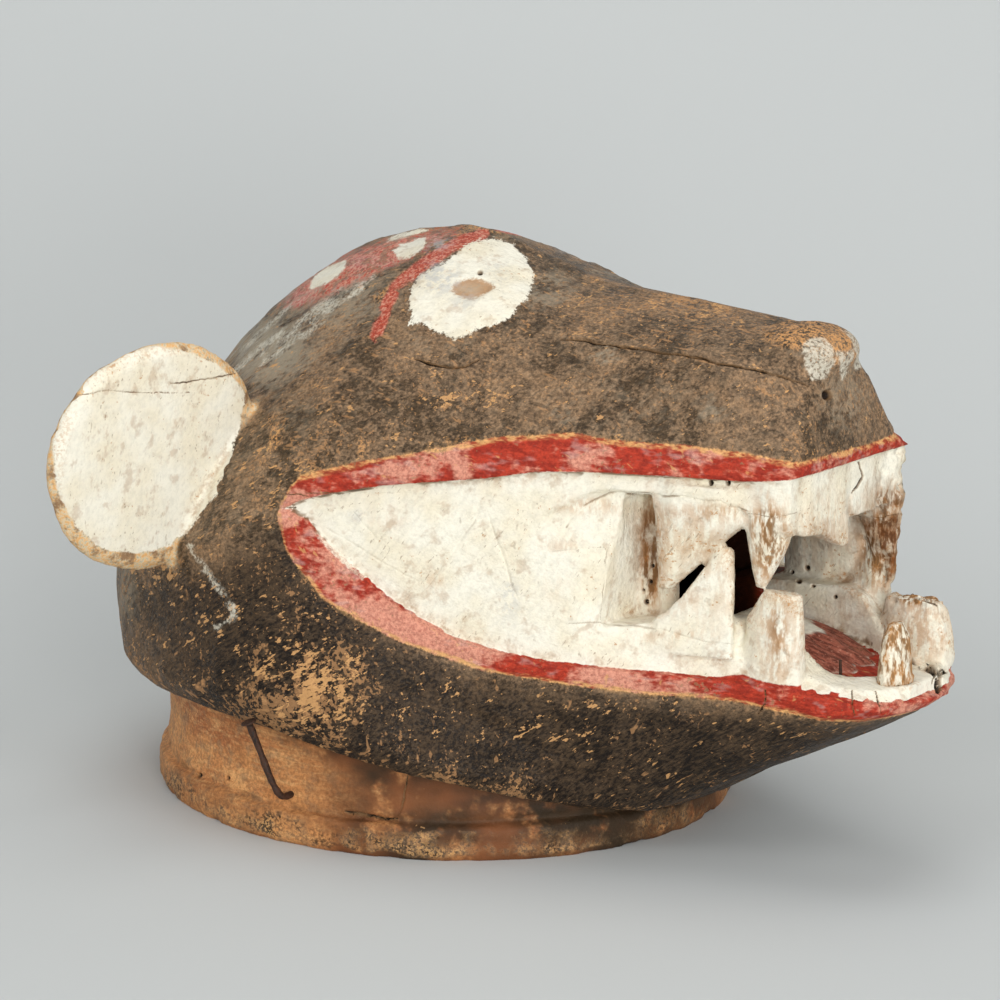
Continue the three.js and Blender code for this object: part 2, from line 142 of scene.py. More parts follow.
# Outer edge of the red bands round the whole mouth, seen from the side: along the muzzle, then the jaw
BAND_EDGE = [
    (8, 158), (10, 166), (14, 172), (40, 180), (65, 186), (100, 195), (133, 199), (149, 197), (183, 197),
    (208, 196), (230, 193), (240, 192), (320, 192), (320, 78), (272, 80), (261, 80), (245, 81), (234, 83), (204, 86),
    (170, 86), (138, 88), (103, 92), (68, 103), (34, 120), (14, 141), (10, 150),
]

# Marks on the plate: closed outlines
LEFT_EYE_DROP = 34
EYE_RING = [
    (409, 306), (410, 290), (420, 275), (431, 268), (443, 265), (451, 256), (462, 247), (477, 241), (491, 238),
    (506, 241), (518, 248), (527, 259), (533, 275), (530, 293), (520, 306), (508, 318), (492, 326), (472, 333),
    (456, 338), (444, 334), (432, 331), (421, 324), (408, 326), (413, 314),
]
PUPIL = [
    (450, 291), (455, 283), (466, 279), (481, 279), (490, 282), (494, 288), (484, 295), (474, 300), (459, 297),
]
EAR_WHITE = [
    (53, 470), (52, 445), (58, 418), (70, 394), (88, 372), (110, 357), (135, 349), (160, 347), (183, 350),
    (205, 358), (222, 368), (238, 382), (245, 393), (244, 411), (240, 429), (234, 442), (234, 452), (229, 468),
    (219, 481), (220, 488), (208, 506), (196, 520), (188, 533), (178, 538), (168, 546), (148, 553), (124, 553),
    (104, 549), (84, 536), (68, 515), (58, 492),
]
CREST_PATCHES = [
    [(393, 258), (396, 246), (410, 240), (425, 238), (427, 244), (420, 252), (408, 258), (400, 260)],
    [(307, 291), (312, 279), (322, 270), (334, 264), (347, 260), (344, 270), (334, 281), (318, 288)],
    [(384, 243), (398, 234), (420, 229), (428, 231), (408, 236)],
]
CREST_BAND = [
    (281, 306), (300, 283), (340, 257), (385, 240), (430, 231), (462, 229), (440, 241), (402, 262), (352, 284),
    (305, 306),
]
NOSE_PATCHES = [
    [(803, 348), (809, 339), (822, 337), (832, 346), (834, 362), (826, 378), (812, 380), (805, 366)],
    [(838, 350), (848, 352), (857, 368), (858, 386), (848, 389), (840, 376)],
]
# Marks on the plate: lines, each with its width in millimetres
EYE_STRIPE = [(484, 234), (466, 240), (449, 248), (434, 258), (421, 266), (397, 286), (387, 303), (380, 324), (376, 336)]
CHEEK_SMEAR = [(190, 546), (203, 566), (214, 582), (226, 598), (234, 612), (229, 624), (214, 629)]
# Pale grey streaks over the dome: worn paint lines, greyed as a painted sheen
DOME_WORN_AND_SHEEN_STREAKS = [
    [(233, 373), (262, 345), (301, 321), (332, 292), (360, 274)], [(243, 350), (262, 332), (290, 305), (330, 278)],
    [(262, 354), (290, 334), (315, 312), (345, 292), (374, 276)], [(286, 350), (312, 330), (336, 306), (362, 288)],
    [(252, 368), (280, 352), (300, 334)], [(300, 300), (318, 290), (340, 270)],
]
PALE_SCRATCHES = [
    [(577, 444), (584, 456), (592, 470)], [(284, 420), (276, 436), (267, 450)], [(286, 416), (278, 426)],
    [(560, 318), (590, 296), (606, 286)], [(500, 300), (545, 268)],
]

# Cracks on the plate: points, width and depth in millimetres, and how dark they are. The first two are on
# both sides of the mask, the others on the right
CRACKS = [
    ([(560, 339), (590, 342), (624, 347), (688, 356), (738, 367), (777, 375), (810, 386)], 1.3, 2.2, 1),
    ([(414, 359), (430, 364), (452, 368), (466, 366), (479, 360)], 1.3, 2.0, 1),
    ([(847, 413), (870, 420), (895, 430)], 0.8, 1.2, 1),
    ([(860, 425), (872, 440), (885, 455)], 0.8, 1.2, 1),
    ([(765, 690), (765, 705), (758, 715)], 0.9, 1.6, 1),
    ([(852, 690), (853, 703), (855, 715)], 0.8, 1.2, 1),
    ([(875, 690), (879, 703), (882, 715)], 0.8, 1.2, 1),
    ([(80, 394), (110, 391), (150, 393), (190, 392)], 0.55, 0.5, 0.75),
    ([(170, 383), (190, 381), (212, 378), (236, 374)], 0.7, 0.8, 0.9),
    ([(345, 812), (372, 817), (398, 819)], 1.6, 2.0, 1),
    ([(398, 819), (404, 798), (407, 776)], 0.9, 1.2, 1),
    ([(279, 493), (300, 495), (320, 500)], 0.5, 0.5, 0.8),
    ([(279, 507), (296, 508)], 0.6, 0.6, 0.9),
    ([(566, 528), (575, 514), (590, 502), (610, 493), (640, 494), (680, 497), (720, 502), (747, 511)], 1.4, 0.6, 0.4),
    ([(561, 625), (600, 622), (640, 627), (675, 633), (700, 641), (742, 645)], 1.0, 0.4, 0.3),
    ([(747, 513), (770, 517), (799, 513)], 0.6, 0.4, 0.4),
    ([(327, 529), (372, 556), (418, 582)], 1.4, 0.35, 0.16),
    ([(428, 588), (456, 548), (480, 513)], 1.4, 0.35, 0.2),
    ([(487, 511), (504, 560), (519, 603)], 1.6, 0.4, 0.2),
    ([(352, 512), (378, 540), (398, 520)], 1.2, 0.3, 0.16),
    ([(543, 553), (575, 549), (608, 547)], 0.7, 0.25, 0.35),
    ([(613, 503), (606, 560), (601, 620)], 0.6, 0.2, 0.35),
    ([(306, 493), (352, 494), (400, 492)], 0.7, 0.5, 0.7),
    ([(574, 337), (610, 343), (640, 348)], 0.6, 0.6, 0.8),
]
# The same for the front of the mouth and its left side, which isn't folded over
FRONT_CRACKS = [
    ([(859, 462), (864, 476), (858, 486), (852, 493)], 1.1, 1.8, 1),
    ([(848, 514), (870, 518), (890, 516), (908, 512)], 0.6, 0.4, 0.5),
    ([(906, 657), (915, 662), (926, 665), (936, 672), (946, 671)], 3.6, 4.0, 1),
    ([(944, 670), (939, 680), (938, 692)], 3.0, 3.0, 1),
    ([(928, 664), (934, 676), (932, 684)], 1.6, 2.0, 1),
    ([(905, 592), (922, 600), (938, 606)], 1.2, 1.2, 0.8),
    ([(884, 626), (883, 650), (886, 684)], 0.9, 0.6, 0.5),
]
# Small round holes on the plate: place, radius and depth in millimetres
HOLES = [
    (480, 272, 1.4, 3.0), (828, 395, 2.6, 3.0), (711, 483, 1.2, 2.5), (728, 483, 1.2, 2.5),
    (200, 775, 1.0, 2.0), (228, 778, 1.0, 2.0),
]
WORM_HOLES = [
    (643, 590), (650, 582), (646, 602), (652, 566), (792, 572), (799, 581), (807, 568), (813, 586), (835, 597),
]


# Worn and stained places on the plate: middle, half width, half height and strength
GOLDEN_SPOTS = [
    (800, 334, 32, 12, 1), (838, 348, 20, 14, 1), (385, 296, 9, 8, 1), (484, 229, 24, 4, 0.9),
    (275, 436, 5, 16, 0.9), (284, 420, 5, 12, 0.7), (364, 447, 8, 10, 0.8), (520, 443, 55, 6, 0.9),
    (146, 560, 30, 8, 0.8),
]
SPECKLED_SPOTS = [
    (318, 690, 50, 52, 1.0), (268, 665, 30, 40, 0.5), (590, 705, 90, 10, 0.5), (160, 585, 50, 30, 0.45),
    (200, 610, 40, 40, 0.35), (545, 740, 60, 16, 0.4), (455, 700, 60, 14, 0.4), (700, 310, 150, 18, 0.35),
    (270, 470, 30, 60, 0.35), (455, 400, 40, 20, 0.4), (120, 640, 20, 50, 0.3),
]
# Grey dust, and grey painted sheen, on the dome, the muzzle and the nose
DUST_AND_SHEEN_SPOTS = [
    (265, 350, 60, 46, 1.0), (330, 300, 80, 36, 0.7), (620, 400, 130, 40, 0.2), (850, 400, 40, 40, 0.5),
    (560, 415, 20, 14, 0.5), (548, 290, 36, 26, 0.6), (480, 235, 60, 14, 0.3), (120, 590, 20, 50, 0.7),
    (606, 355, 16, 14, 0.8), (710, 412, 16, 14, 0.6), (440, 340, 50, 20, 0.3), (820, 360, 40, 26, 0.4),
]
RUBBED_SPOTS = [
    (300, 690, 70, 60, 0.8), (600, 330, 150, 50, 0.35), (440, 390, 90, 50, 0.4), (700, 320, 120, 20, 0.5),
    (880, 430, 40, 40, 0.4), (300, 470, 60, 60, 0.4), (650, 300, 160, 14, 0.8),
]
PINK_SPOTS = [
    (325, 565, 60, 70, 0.5), (660, 690, 60, 16, 0.4), (430, 448, 60, 12, 0.4), (700, 456, 40, 10, 0.35),
    (410, 468, 80, 18, 0.55), (410, 640, 120, 60, 1.0), (610, 684, 60, 24, 0.9), (900, 695, 60, 26, 0.5),
    (288, 505, 20, 30, 0.9), (590, 458, 30, 20, 0.5),
]
# Bluish film over the white round the eye and over the crest
ASHEN_SPOTS = [
    (440, 278, 26, 20, 1.0), (462, 300, 20, 12, 0.6), (497, 272, 16, 16, 0.5), (438, 244, 14, 9, 0.9),
    (370, 262, 34, 9, 0.3), (300, 298, 22, 12, 0.3), (510, 600, 14, 26, 0.6), (358, 516, 14, 8, 0.5),
]
# The same on the plate for stains and painted brown shade inside the mouth, where the left side isn't folded over
STAIN_AND_SHADE_SPOTS = [
    (768, 540, 24, 50, 1.45), (700, 545, 26, 22, 0.7), (776, 640, 16, 56, 1.25), (651, 555, 12, 66, 1.9),
    (884, 545, 30, 48, 1.7), (920, 630, 34, 44, 0.8), (815, 545, 30, 30, 0.25), (590, 506, 40, 10, 0.7),
    (690, 512, 90, 9, 0.95), (830, 520, 30, 30, 0.55), (672, 636, 60, 6, 0.6), (870, 570, 30, 40, 0.7),
    (434, 582, 16, 10, 0.5), (556, 590, 12, 12, 0.6), (560, 545, 24, 8, 0.5), (390, 520, 30, 10, 0.3),
    (720, 560, 10, 16, 0.5), (922, 596, 30, 10, 2.4), (890, 500, 22, 18, 1.4), (893, 655, 16, 34, 0.7), (845, 610, 50, 10, 0.5),
]

# Brown shade inside the mouth: outlines on the plate, and how strong each is
SHADED_PLACES = [
    ([(630, 506), (662, 506), (661, 560), (664, 590), (646, 604), (640, 570), (634, 530)], 0.5),
    ([(648, 508), (662, 508), (661, 556), (663, 588), (655, 594), (651, 560)], 0.5),
    ([(846, 510), (862, 514), (886, 516), (908, 511), (904, 560), (893, 586), (884, 566), (868, 540)], 0.85),
    ([(862, 496), (886, 480), (908, 494), (908, 512), (884, 514), (864, 514)], 0.5),
    ([(798, 528), (824, 524), (838, 532), (846, 540), (838, 544), (812, 536)], 0.5),
    ([(716, 536), (744, 524), (750, 533), (728, 541), (708, 556), (694, 566)], 0.5),
    ([(824, 604), (838, 588), (850, 566), (860, 548), (864, 552), (858, 590), (846, 606)], 0.3),
    ([(884, 612), (890, 596), (900, 588), (900, 614), (898, 640), (888, 640)], 0.5),
]

# The long nail in the collar, and the foot of the thin nail in the jaw
NAIL_PATH = [
    (12, -121, 24), (12.3, -128, 22.5), (12, -134, 23.5), (9.5, -137.5, 31), (5.5, -141, 46), (2.5, -144.6, 59),
]
THIN_NAIL = (240, -19, 92)


def plate_axes():
    """Right, up and back of the plate."""
    sine, cosine = math.sin(PLATE_AZIMUTH), math.cos(PLATE_AZIMUTH)
    level = math.cos(PLATE_ELEVATION)
    back = np.array([sine * level, -cosine * level, math.sin(PLATE_ELEVATION)])
    right = np.array([cosine, sine, 0.0])
    return right, np.cross(back, right), back


def on_plate(points):
    """Where points show on the plate, as columns right and down."""
    right, up, back = plate_axes()
    offset = points - PLATE_CENTRE - back * PLATE_DISTANCE
    depth = -(offset @ back)
    return np.stack([500 + PLATE_FOCUS * (offset @ right) / depth, 500 - PLATE_FOCUS * (offset @ up) / depth], 1)


# Distances and random relief


def line_distance(places, line):
    """Distance of each place from an open line, and how far along it the nearest point is, from 0 to 1."""
    line = np.array(line, float)
    lengths = np.linalg.norm(np.diff(line, axis=0), axis=1)
    nearest = np.full(len(places), 1e9)
    along = np.zeros(len(places))
    run = 0.0
    for start, end, length in zip(line[:-1], line[1:], lengths):
        side = end - start
        t = np.clip((places - start) @ side / length**2, 0, 1)
        gap = np.linalg.norm(places - start - t[:, None] * side, axis=1)
        closer = gap < nearest
        nearest[closer] = gap[closer]
        along[closer] = (run + t[closer] * length) / lengths.sum()
        run += length
    return nearest, along


def inside_distance(places, outline):
    """Distance of each place from a closed outline, positive inside."""
    outline = np.array(outline, float)
    gap, _ = line_distance(places, np.vstack([outline, outline[:1]]))
    inside = np.zeros(len(places), bool)
    x, y = places.T
    for (x0, y0), (x1, y1) in zip(outline, np.roll(outline, -1, axis=0)):
        if y0 == y1:
            continue
        crosses = (y0 > y) != (y1 > y)
        inside ^= crosses & (x < x0 + (y - y0) * (x1 - x0) / (y1 - y0))
    return np.where(inside, gap, -gap)


def ease(values, low, high):
    """0 below low, 1 above high, smooth between."""
    t = np.clip((values - low) / (high - low), 0, 1)
    return t * t * (3 - 2 * t)


def unevenness(points, size, seed, stretch=(1, 1, 1)):
    """Smooth random value from -1 to 1 that changes over size millimetres."""
    place = points / (size * np.array(stretch, float)) + 500.0
    cell = np.floor(place).astype(np.int64)
    part = place - cell
    part = part * part * (3 - 2 * part)
    total = np.zeros(len(points))
    for corner in range(8):
        step = np.array([corner & 1, corner >> 1 & 1, corner >> 2 & 1])
        key = ((cell + step) * np.array([73856093, 19349663, 83492791])).sum(1) + seed * 7919
        key = (key ^ (key >> 13)) * 1274126177 & 0xFFFFFFFF
        key = (key ^ (key >> 15)) * 668265263 & 0xFFFFFFFF
        value = (key >> 8 & 0xFFFF) / 32767.5 - 1
        total += value * np.where(step, part, 1 - part).prod(1)
    return total


def hollow_radius(height):
    """Half length of the hollow for the wearer's head at a height."""
    rise = np.clip((height - HOLLOW_SPRING) / HOLLOW_RISE, 0, 1)
    return HOLLOW_LONG * (1 - rise**1.6) ** 0.85


class Surface:
    """A mesh as arrays, in millimetres from the middle of the collar."""

    def __init__(self, mesh):
        self.mesh = mesh
        self.points = self.read(mesh.vertices, "co", 3) / MM - COLLAR_CENTRE
        self.edges = self.read(mesh.edges, "vertices", 2, np.int32)
        self.count = len(self.points)
        self.degree = np.bincount(self.edges.ravel(), minlength=self.count)

    @staticmethod
    def read(items, name, width, kind=np.float32):
        values = np.zeros(len(items) * width, kind)
        items.foreach_get(name, values)
        values = values if kind is np.int32 else values.astype(float)
        return values.reshape(-1, width)

    def write(self):
        co = (self.points + COLLAR_CENTRE) * MM
        self.mesh.vertices.foreach_set("co", co.astype(np.float32).ravel())
        self.mesh.update()

    def normals(self):
        self.write()
        return self.read(self.mesh.vertex_normals, "vector", 3)

    def spread(self, values, rounds=1):
        """Mean of each vertex's neighbours, repeated."""
        a, b = self.edges.T
        values = values if values.ndim == 2 else values[:, None]
        for _ in range(rounds):
            columns = [
                np.bincount(a, v[b], self.count) + np.bincount(b, v[a], self.count) for v in values.T
            ]
            values = np.stack(columns, 1) / np.maximum(self.degree, 1)[:, None]
        return values if values.shape[1] > 1 else values[:, 0]

    def relax(self, weight, rounds, swell=-0.53):
        """Smooths without shrinking: each round moves in and then out again."""
        weight = weight[:, None]
        for _ in range(rounds):
            for share in (0.5, swell):
                self.points += weight * share * (self.spread(self.points) - self.points)

    def draw_in(self, solid, weight):
        """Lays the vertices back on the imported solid's own faces, by a weight from 0 to 1."""
        for i in np.flatnonzero(weight > 0.02):
            place = solid.find_nearest(self.points[i].tolist(), 4.0)[0]
            if place is not None:
                self.points[i] += weight[i] * (np.array(place) - self.points[i])

    def push(self, distance):
        """Moves along the normals."""
        self.points += self.normals() * distance[:, None]

    def whittle(self, where, size, strength, limit, seed, stretch=(1, 1, 1)):
        """Cuts flat tool marks of about size millimetres where the weight is above zero."""
        normals = self.normals()
        picked = np.flatnonzero(where > 0.01)
        if not len(picked):
            return
        rng = np.random.default_rng(seed)
        scale = np.array(stretch, float)
        spacing = np.median(np.linalg.norm(self.points[self.edges[:, 0]] - self.points[self.edges[:, 1]], axis=1))
        amount = max(4, int(len(picked) * (spacing / size) ** 2))
        seeds = rng.choice(picked, min(amount, len(picked)), replace=False)
        tree = KDTree(len(seeds))
        for i, place in enumerate(self.points[seeds] / scale):
            tree.insert(place, i)
        tree.balance()
        near = np.array([tree.find(place)[1] for place in self.points[picked] / scale])
        origin, facing = self.points[seeds[near]], normals[seeds[near]]
        height = ((self.points[picked] - origin) * facing).sum(1)
        cut = np.clip(height, -limit, limit) * strength * where[picked]
        self.points[picked] -= facing * cut[:, None]

    def store(self, name, values):
        layer = self.mesh.attributes.new(name, "FLOAT", "POINT")
        layer.data.foreach_set("value", np.asarray(values, np.float32))


def evaluated_copy(obj):
    """The object's mesh with its modifiers applied, as a new mesh."""
    graph = bpy.context.evaluated_depsgraph_get()
    graph.update()
    return bpy.data.meshes.new_from_object(obj.evaluated_get(graph), depsgraph=graph)


def apply_modifiers(obj):
    mesh = evaluated_copy(obj)
    old = obj.data
    obj.modifiers.clear()
    obj.data = mesh
    bpy.data.meshes.remove(old)


def remeshed_copy(node, name, voxel):
    """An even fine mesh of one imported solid, ready to carve."""
    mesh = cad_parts[node].data.copy()
    mesh.materials.clear()
    work = bmesh.new()
    work.from_mesh(mesh)
    bmesh.ops.remove_doubles(work, verts=work.verts, dist=1e-6)
    work.to_mesh(mesh)
    work.free()
    for layer in [a.name for a in mesh.attributes if a.name not in {"position"} and not a.is_internal and not a.is_required]:
        mesh.attributes.remove(mesh.attributes[layer])
    obj = bpy.data.objects.new(name, mesh)
    bpy.context.scene.collection.objects.link(obj)
    remesh = obj.modifiers.new("Even mesh", "REMESH")
    remesh.mode = "VOXEL"
    remesh.voxel_size = voxel
    apply_modifiers(obj)
    return obj


def solid_tree(node):
    """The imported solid's faces, ready for nearest-point searches in millimetres."""
    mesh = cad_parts[node].data
    points = Surface.read(mesh.vertices, "co", 3) / MM - COLLAR_CENTRE
    return BVHTree.FromPolygons(points.tolist(), [tuple(face.vertices) for face in mesh.polygons])


def thin_out(obj, target, plain=None):
    """Collapses the mesh to about target triangles, first where the plain weight is high."""
    if plain is not None:
        group = obj.vertex_groups.new(name="plain")
        group.add(np.flatnonzero(plain > 0.5).tolist(), 1.0, "REPLACE")
        share = float(np.mean(plain > 0.5))
        first = obj.modifiers.new("Thin the hollow", "DECIMATE")
        first.vertex_group = "plain"
        first.ratio = 1 - 0.95 * share
        apply_modifiers(obj)
        obj.vertex_groups.clear()
    obj.data.calc_loop_triangles()
    second = obj.modifiers.new("Thin", "DECIMATE")
    second.ratio = min(1.0, target / len(obj.data.loop_triangles))
    apply_modifiers(obj)


def refine(obj, reach, length, rounds=5):
    """Halves the edges that pass within reach of a mark, until none is longer than length."""
    for _ in range(rounds):
        surface = Surface(obj.data)
        near = mark_distance(surface)
        first, second = surface.edges.T
        size = np.linalg.norm(surface.points[first] - surface.points[second], axis=1)
        picked = (size > length) & (np.minimum(near[first], near[second]) < reach + size / 2)
        if not picked.any():
            return
        work = bmesh.new()
        work.from_mesh(obj.data)
        edges = [edge for edge, cut in zip(work.edges, picked) if cut]
        bmesh.ops.subdivide_edges(work, edges=edges, cuts=1, use_grid_fill=True)
        bmesh.ops.triangulate(work, faces=work.faces)
        work.to_mesh(obj.data)
        work.free()


# Carving

MOST_TRIANGLES = 200000


def fold(points, normals):
    """Points and normals of the left half folded over to the right half."""
    flip = np.where(points[:, 1:2] > 0, [[1, -1, 1]], [[1, 1, 1]])
    return points * flip, normals * flip


def ear_places(near):
    """Height over the middle of the ear's disc, towards its face, and distance from its axis."""
    level = math.cos(EAR_TILT)
    facing = np.array([math.sin(EAR_TURN) * level, -math.cos(EAR_TURN) * level, -math.sin(EAR_TILT)])
    offset = near - EAR_CENTRE * [1, -1, 1]
    height = offset @ facing
    return height, np.linalg.norm(offset - height[:, None] * facing, axis=1), facing


def zones(points, normals):
    """The parts of the head that are carved and painted in different ways, each True at its vertices."""
    near, turned = fold(points, normals)
    x, y, z = points.T
    side = np.abs(y)
    round_collar = np.hypot(x, y * COLLAR_LONG / COLLAR_WIDE)
    hollow = (round_collar < hollow_radius(z) + 1.2) & (z < HOLLOW_SPRING + HOLLOW_RISE + 1.5)
    lips = (x > MOUTH_CORNER) & (z < lip_height(x) - 0.4) & (z > jaw_height(x) + 0.4)
    roof = (x > 100) & (x < NOSE_FRONT - 2) & (z > 120) & (z < 192) & (side < lip_half(x) - 3.4)
    roof &= (turned[:, 1] > -0.35) & (normals[:, 2] < 0.35)
    throat = (x > 56) & (x < 160) & (y > -43.2) & (y < 65.2) & (z > 83) & (z < 179) & ~hollow
    mouth = (lips | roof) & ~hollow & ~throat
    height, radius, facing = ear_places(near)
    ear = (np.abs(height) < 5.8) & (radius < 57) & (side > 90)
    face = ear & (height > 3.2) & (turned @ facing > 0.55)
    rim = ear & (radius > 51.5)
    back = ear & (height < -3.2) & (turned @ facing < -0.6)
    collar = (round_collar < 146.2) & (z < paint_edge_height(x) + 1.2) & ~hollow & (x < 146)
    tongue = mouth & (x > 166) & (side < tongue_half(x) + 0.6) & (z < 104) & (z > 88) & (normals[:, 2] > 0.3)
    teeth = mouth & (z > lower_gum_top(x) + 3) & (z < 171) & (x > 160)
    skin = ~(hollow | throat | mouth | face | rim | back | collar)
    return {
        "hollow": hollow, "throat": throat, "mouth": mouth, "face": face, "rim": rim, "back": back,
        "collar": collar, "tongue": tongue, "teeth": teeth, "skin": skin,
    }


def crease_distance(points):
    """Distance from the edges that stay crisp: both lips and the lower edge of the painted head."""
    x, _, z = points.T
    ahead = np.where(x > MOUTH_CORNER + 6, 0, 40)
    lips = np.minimum(np.abs(z - lip_height(x)), np.abs(z - jaw_height(x))) + ahead
    return np.minimum(lips, np.abs(z - paint_edge_height(x)))


def carve_head(surface, solid, carving):
    """Smooths the solid's facets away and cuts tool marks, ridges and lumps into it."""
    zone = zones(surface.points, surface.normals())
    weight = {name: mask.astype(float) for name, mask in zone.items()}
    surface.relax(np.full(surface.count, 0.8), 2)
    free = weight["skin"] * ease(crease_distance(surface.points), 1.5, 7) + weight["hollow"]
    free = np.clip(surface.spread(free, 2), 0, 1)
    surface.relax(free, carving.smoothing)
    lips = ease(crease_distance(surface.points), 3.0, 1.0) * (surface.points[:, 0] > 20)
    surface.draw_in(solid, np.maximum(surface.spread(weight["mouth"], 1), lips * 0.8) * 0.9)
    surface.relax(surface.spread(weight["mouth"], 1) * 0.5, 1)

    depth = carving.facet_depth / MM
    size = carving.facet_size / MM
    surface.whittle(surface.spread(weight["skin"], 3) * ease(crease_distance(surface.points), 1, 4),
                    size, 0.75, depth, 11, (1.7, 1, 1))
    surface.whittle(surface.spread(weight["collar"], 2), size * 0.7, 0.7, depth * 0.8, 12, (1.2, 1.2, 0.9))
    surface.whittle(surface.spread(weight["hollow"] + weight["throat"], 2), size * 1.3, 0.7, depth * 1.2, 13)
    gums = surface.spread(np.clip(weight["mouth"] - weight["teeth"] - weight["tongue"], 0, 1), 1)
    surface.whittle(gums, size * 0.6, 0.7, depth * 0.7, 14, (1.3, 1, 1))
    surface.whittle(surface.spread(weight["teeth"], 1), size * 0.6, 0.8, depth * 0.8, 15, (1, 1, 1.8))

    points = surface.points
    x, y, z = points.T
    near, _ = fold(points, points)
    places = on_plate(near)
    lumps = unevenness(points, 26, 1) * 0.45 + unevenness(points, 9, 2, (1.6, 1, 1)) * 0.16
    lumps += unevenness(points, 3.2, 3, (2.5, 1, 1)) * 0.07
    rough = unevenness(points, 4.5, 4) * 0.2 + unevenness(points, 2.2, 5) * 0.1
    push = lumps * surface.spread(weight["skin"] + weight["collar"], 2)
    push += rough * surface.spread(weight["mouth"], 1) * 0.8
    push += (unevenness(points, 30, 6) * 0.5 + rough * 0.35) * surface.spread(weight["face"] + weight["back"], 2)

    band, _ = line_distance(np.stack([x, z], 1), BAND_EDGE)
    ragged = unevenness(points, 12, 7) * 0.5 + 1
    push -= 0.8 * ragged * np.exp(-((band / 1.3) ** 2)) * surface.spread(weight["skin"], 1) * (x > 4)
    ring = inside_distance(places, EYE_RING) * PLATE_MM - 9 * (y > 0)
    seen = weight["skin"] * (z > 200)
    push += (0.45 + 0.25 * unevenness(points, 3.0, 8)) * ease(ring, -1.2, 1.2) * seen
    push -= 1.3 * ease(inside_distance(places, PUPIL) * PLATE_MM, -1.5, 1.5) * seen
    ridges = np.sin(y / 2.35 + unevenness(points, 16, 9) * 1.3 + x / 60)
    push += 0.75 * ridges * surface.spread(weight["tongue"], 2)
    rim = surface.spread(weight["rim"], 2)
    push += (unevenness(points, 14, 10) * 1.1 + unevenness(points, 5, 16) * 0.35) * rim
    chips = ease(np.abs(z - RIM_HEIGHT), 5, 1) + ease(z, 6, 0)
    push -= np.maximum(unevenness(points, 7, 17) + 0.1, 0) * 1.1 * chips * weight["collar"]
    groove = np.exp(-(((z - RIM_HEIGHT - 0.6 - unevenness(points, 40, 18)) / 1.1) ** 2))
    push -= (1.3 + 0.6 * unevenness(points, 15, 19)) * groove * weight["collar"]
    push += 0.7 * ease(z, RIM_HEIGHT, RIM_HEIGHT - 3) * weight["collar"]
    broken = zone["mouth"] * (x > 222) * (y > 24) * ease(z, 110, 119)
    push -= broken * (1.2 + 1.6 * unevenness(points, 4.0, 20) + 0.8 * unevenness(points, 2.0, 23))
    surface.push(push)
    surface.relax(np.full(surface.count, 0.25), 1)
    surface.write()


def mark_lines(surface, zone):
    """Every crack with the plate places that it lies on and where it may be cut."""
    normals = surface.normals()
    near, turned = fold(surface.points, normals)
    _, _, back = plate_axes()
    outer = ~zone["hollow"] & ~zone["throat"]
    folded, true = on_plate(near), on_plate(surface.points)
    right = surface.points[:, 1] < 0
    seen = (turned @ back > 0.05) & outer
    facing = (normals @ back > 0.05) & outer & (surface.points[:, 0] > 200)
    rows = [(row, folded, seen & (right if number > 1 else True)) for number, row in enumerate(CRACKS)]
    return rows + [(row, true, facing) for row in FRONT_CRACKS], folded, true, seen & right


def cut_marks(surface, zone, carving):
    """Cuts the cracks and holes, and returns how dark each vertex is inside them, from 0 to 1."""
    normals = surface.normals()
    _, _, back = plate_axes()
    rows, folded, true, seen = mark_lines(surface, zone)
    dark = np.zeros(surface.count)
    push = np.zeros(surface.count)
    wobble = np.stack([unevenness(surface.points, 6, 21), unevenness(surface.points, 6, 22)], 1) * 1.2
    wobble += np.stack([unevenness(surface.points, 1.8, 24), unevenness(surface.points, 1.8, 25)], 1) * 0.5
    for number, ((line, width, depth, darkness), places, where) in enumerate(rows):
        gap, along = line_distance(places + wobble, line)
        gap = gap * PLATE_MM
        shape = np.sqrt(np.clip(np.sin(np.pi * np.clip(along, 0.02, 0.98)), 0, 1)) * 0.5 + 0.5
        vary = 0.8 + 0.35 * unevenness(surface.points, 8, 30 + number)
        half = width * shape * vary * 0.5
        push -= ease(gap, half * 1.6, half * 0.3) * where * depth * shape * carving.crack_depth
        broken = ease(unevenness(surface.points, 5, 60 + number), -0.7 + 0.6 * darkness - 0.9 * (darkness > 0.7), 0.3)
        dark = np.maximum(dark, ease(gap, half * 1.6, half * 0.5) * where * darkness * broken)
    for u, v, radius, depth in HOLES:
        gap = np.linalg.norm(folded - [u, v], axis=1) * PLATE_MM
        cut = ease(gap, radius * 1.2, radius * 0.5) * seen
        push -= cut * depth
        dark = np.maximum(dark, cut)
    for number, (u, v) in enumerate(WORM_HOLES):
        gap = np.linalg.norm(true - [u, v], axis=1) * PLATE_MM
        radius = 0.7 + 0.5 * abs(math.sin(number * 2.3))
        cut = ease(gap, radius * 1.4, radius * 0.6) * zone["mouth"] * (normals @ back > 0.05)
        push -= cut * 1.6
        dark = np.maximum(dark, cut)
    surface.points += normals * push[:, None]
    surface.write()
    return dark


def mark_distance(surface):
    """Distance in millimetres from the nearest crack or hole that is cut."""
    zone = zones(surface.points, surface.normals())
    rows, folded, true, seen = mark_lines(surface, zone)
    nearest = np.full(surface.count, 1e9)
    for (line, width, _, _), places, where in rows:
        gap = line_distance(places, line)[0] * PLATE_MM - width / 2
        nearest = np.where(where, np.minimum(nearest, gap), nearest)
    for u, v, radius, _ in HOLES:
        gap = np.linalg.norm(folded - [u, v], axis=1) * PLATE_MM - radius
        nearest = np.where(seen, np.minimum(nearest, gap), nearest)
    for u, v in WORM_HOLES:
        gap = np.linalg.norm(true - [u, v], axis=1) * PLATE_MM - 1
        nearest = np.where(zone["mouth"], np.minimum(nearest, gap), nearest)
    return nearest


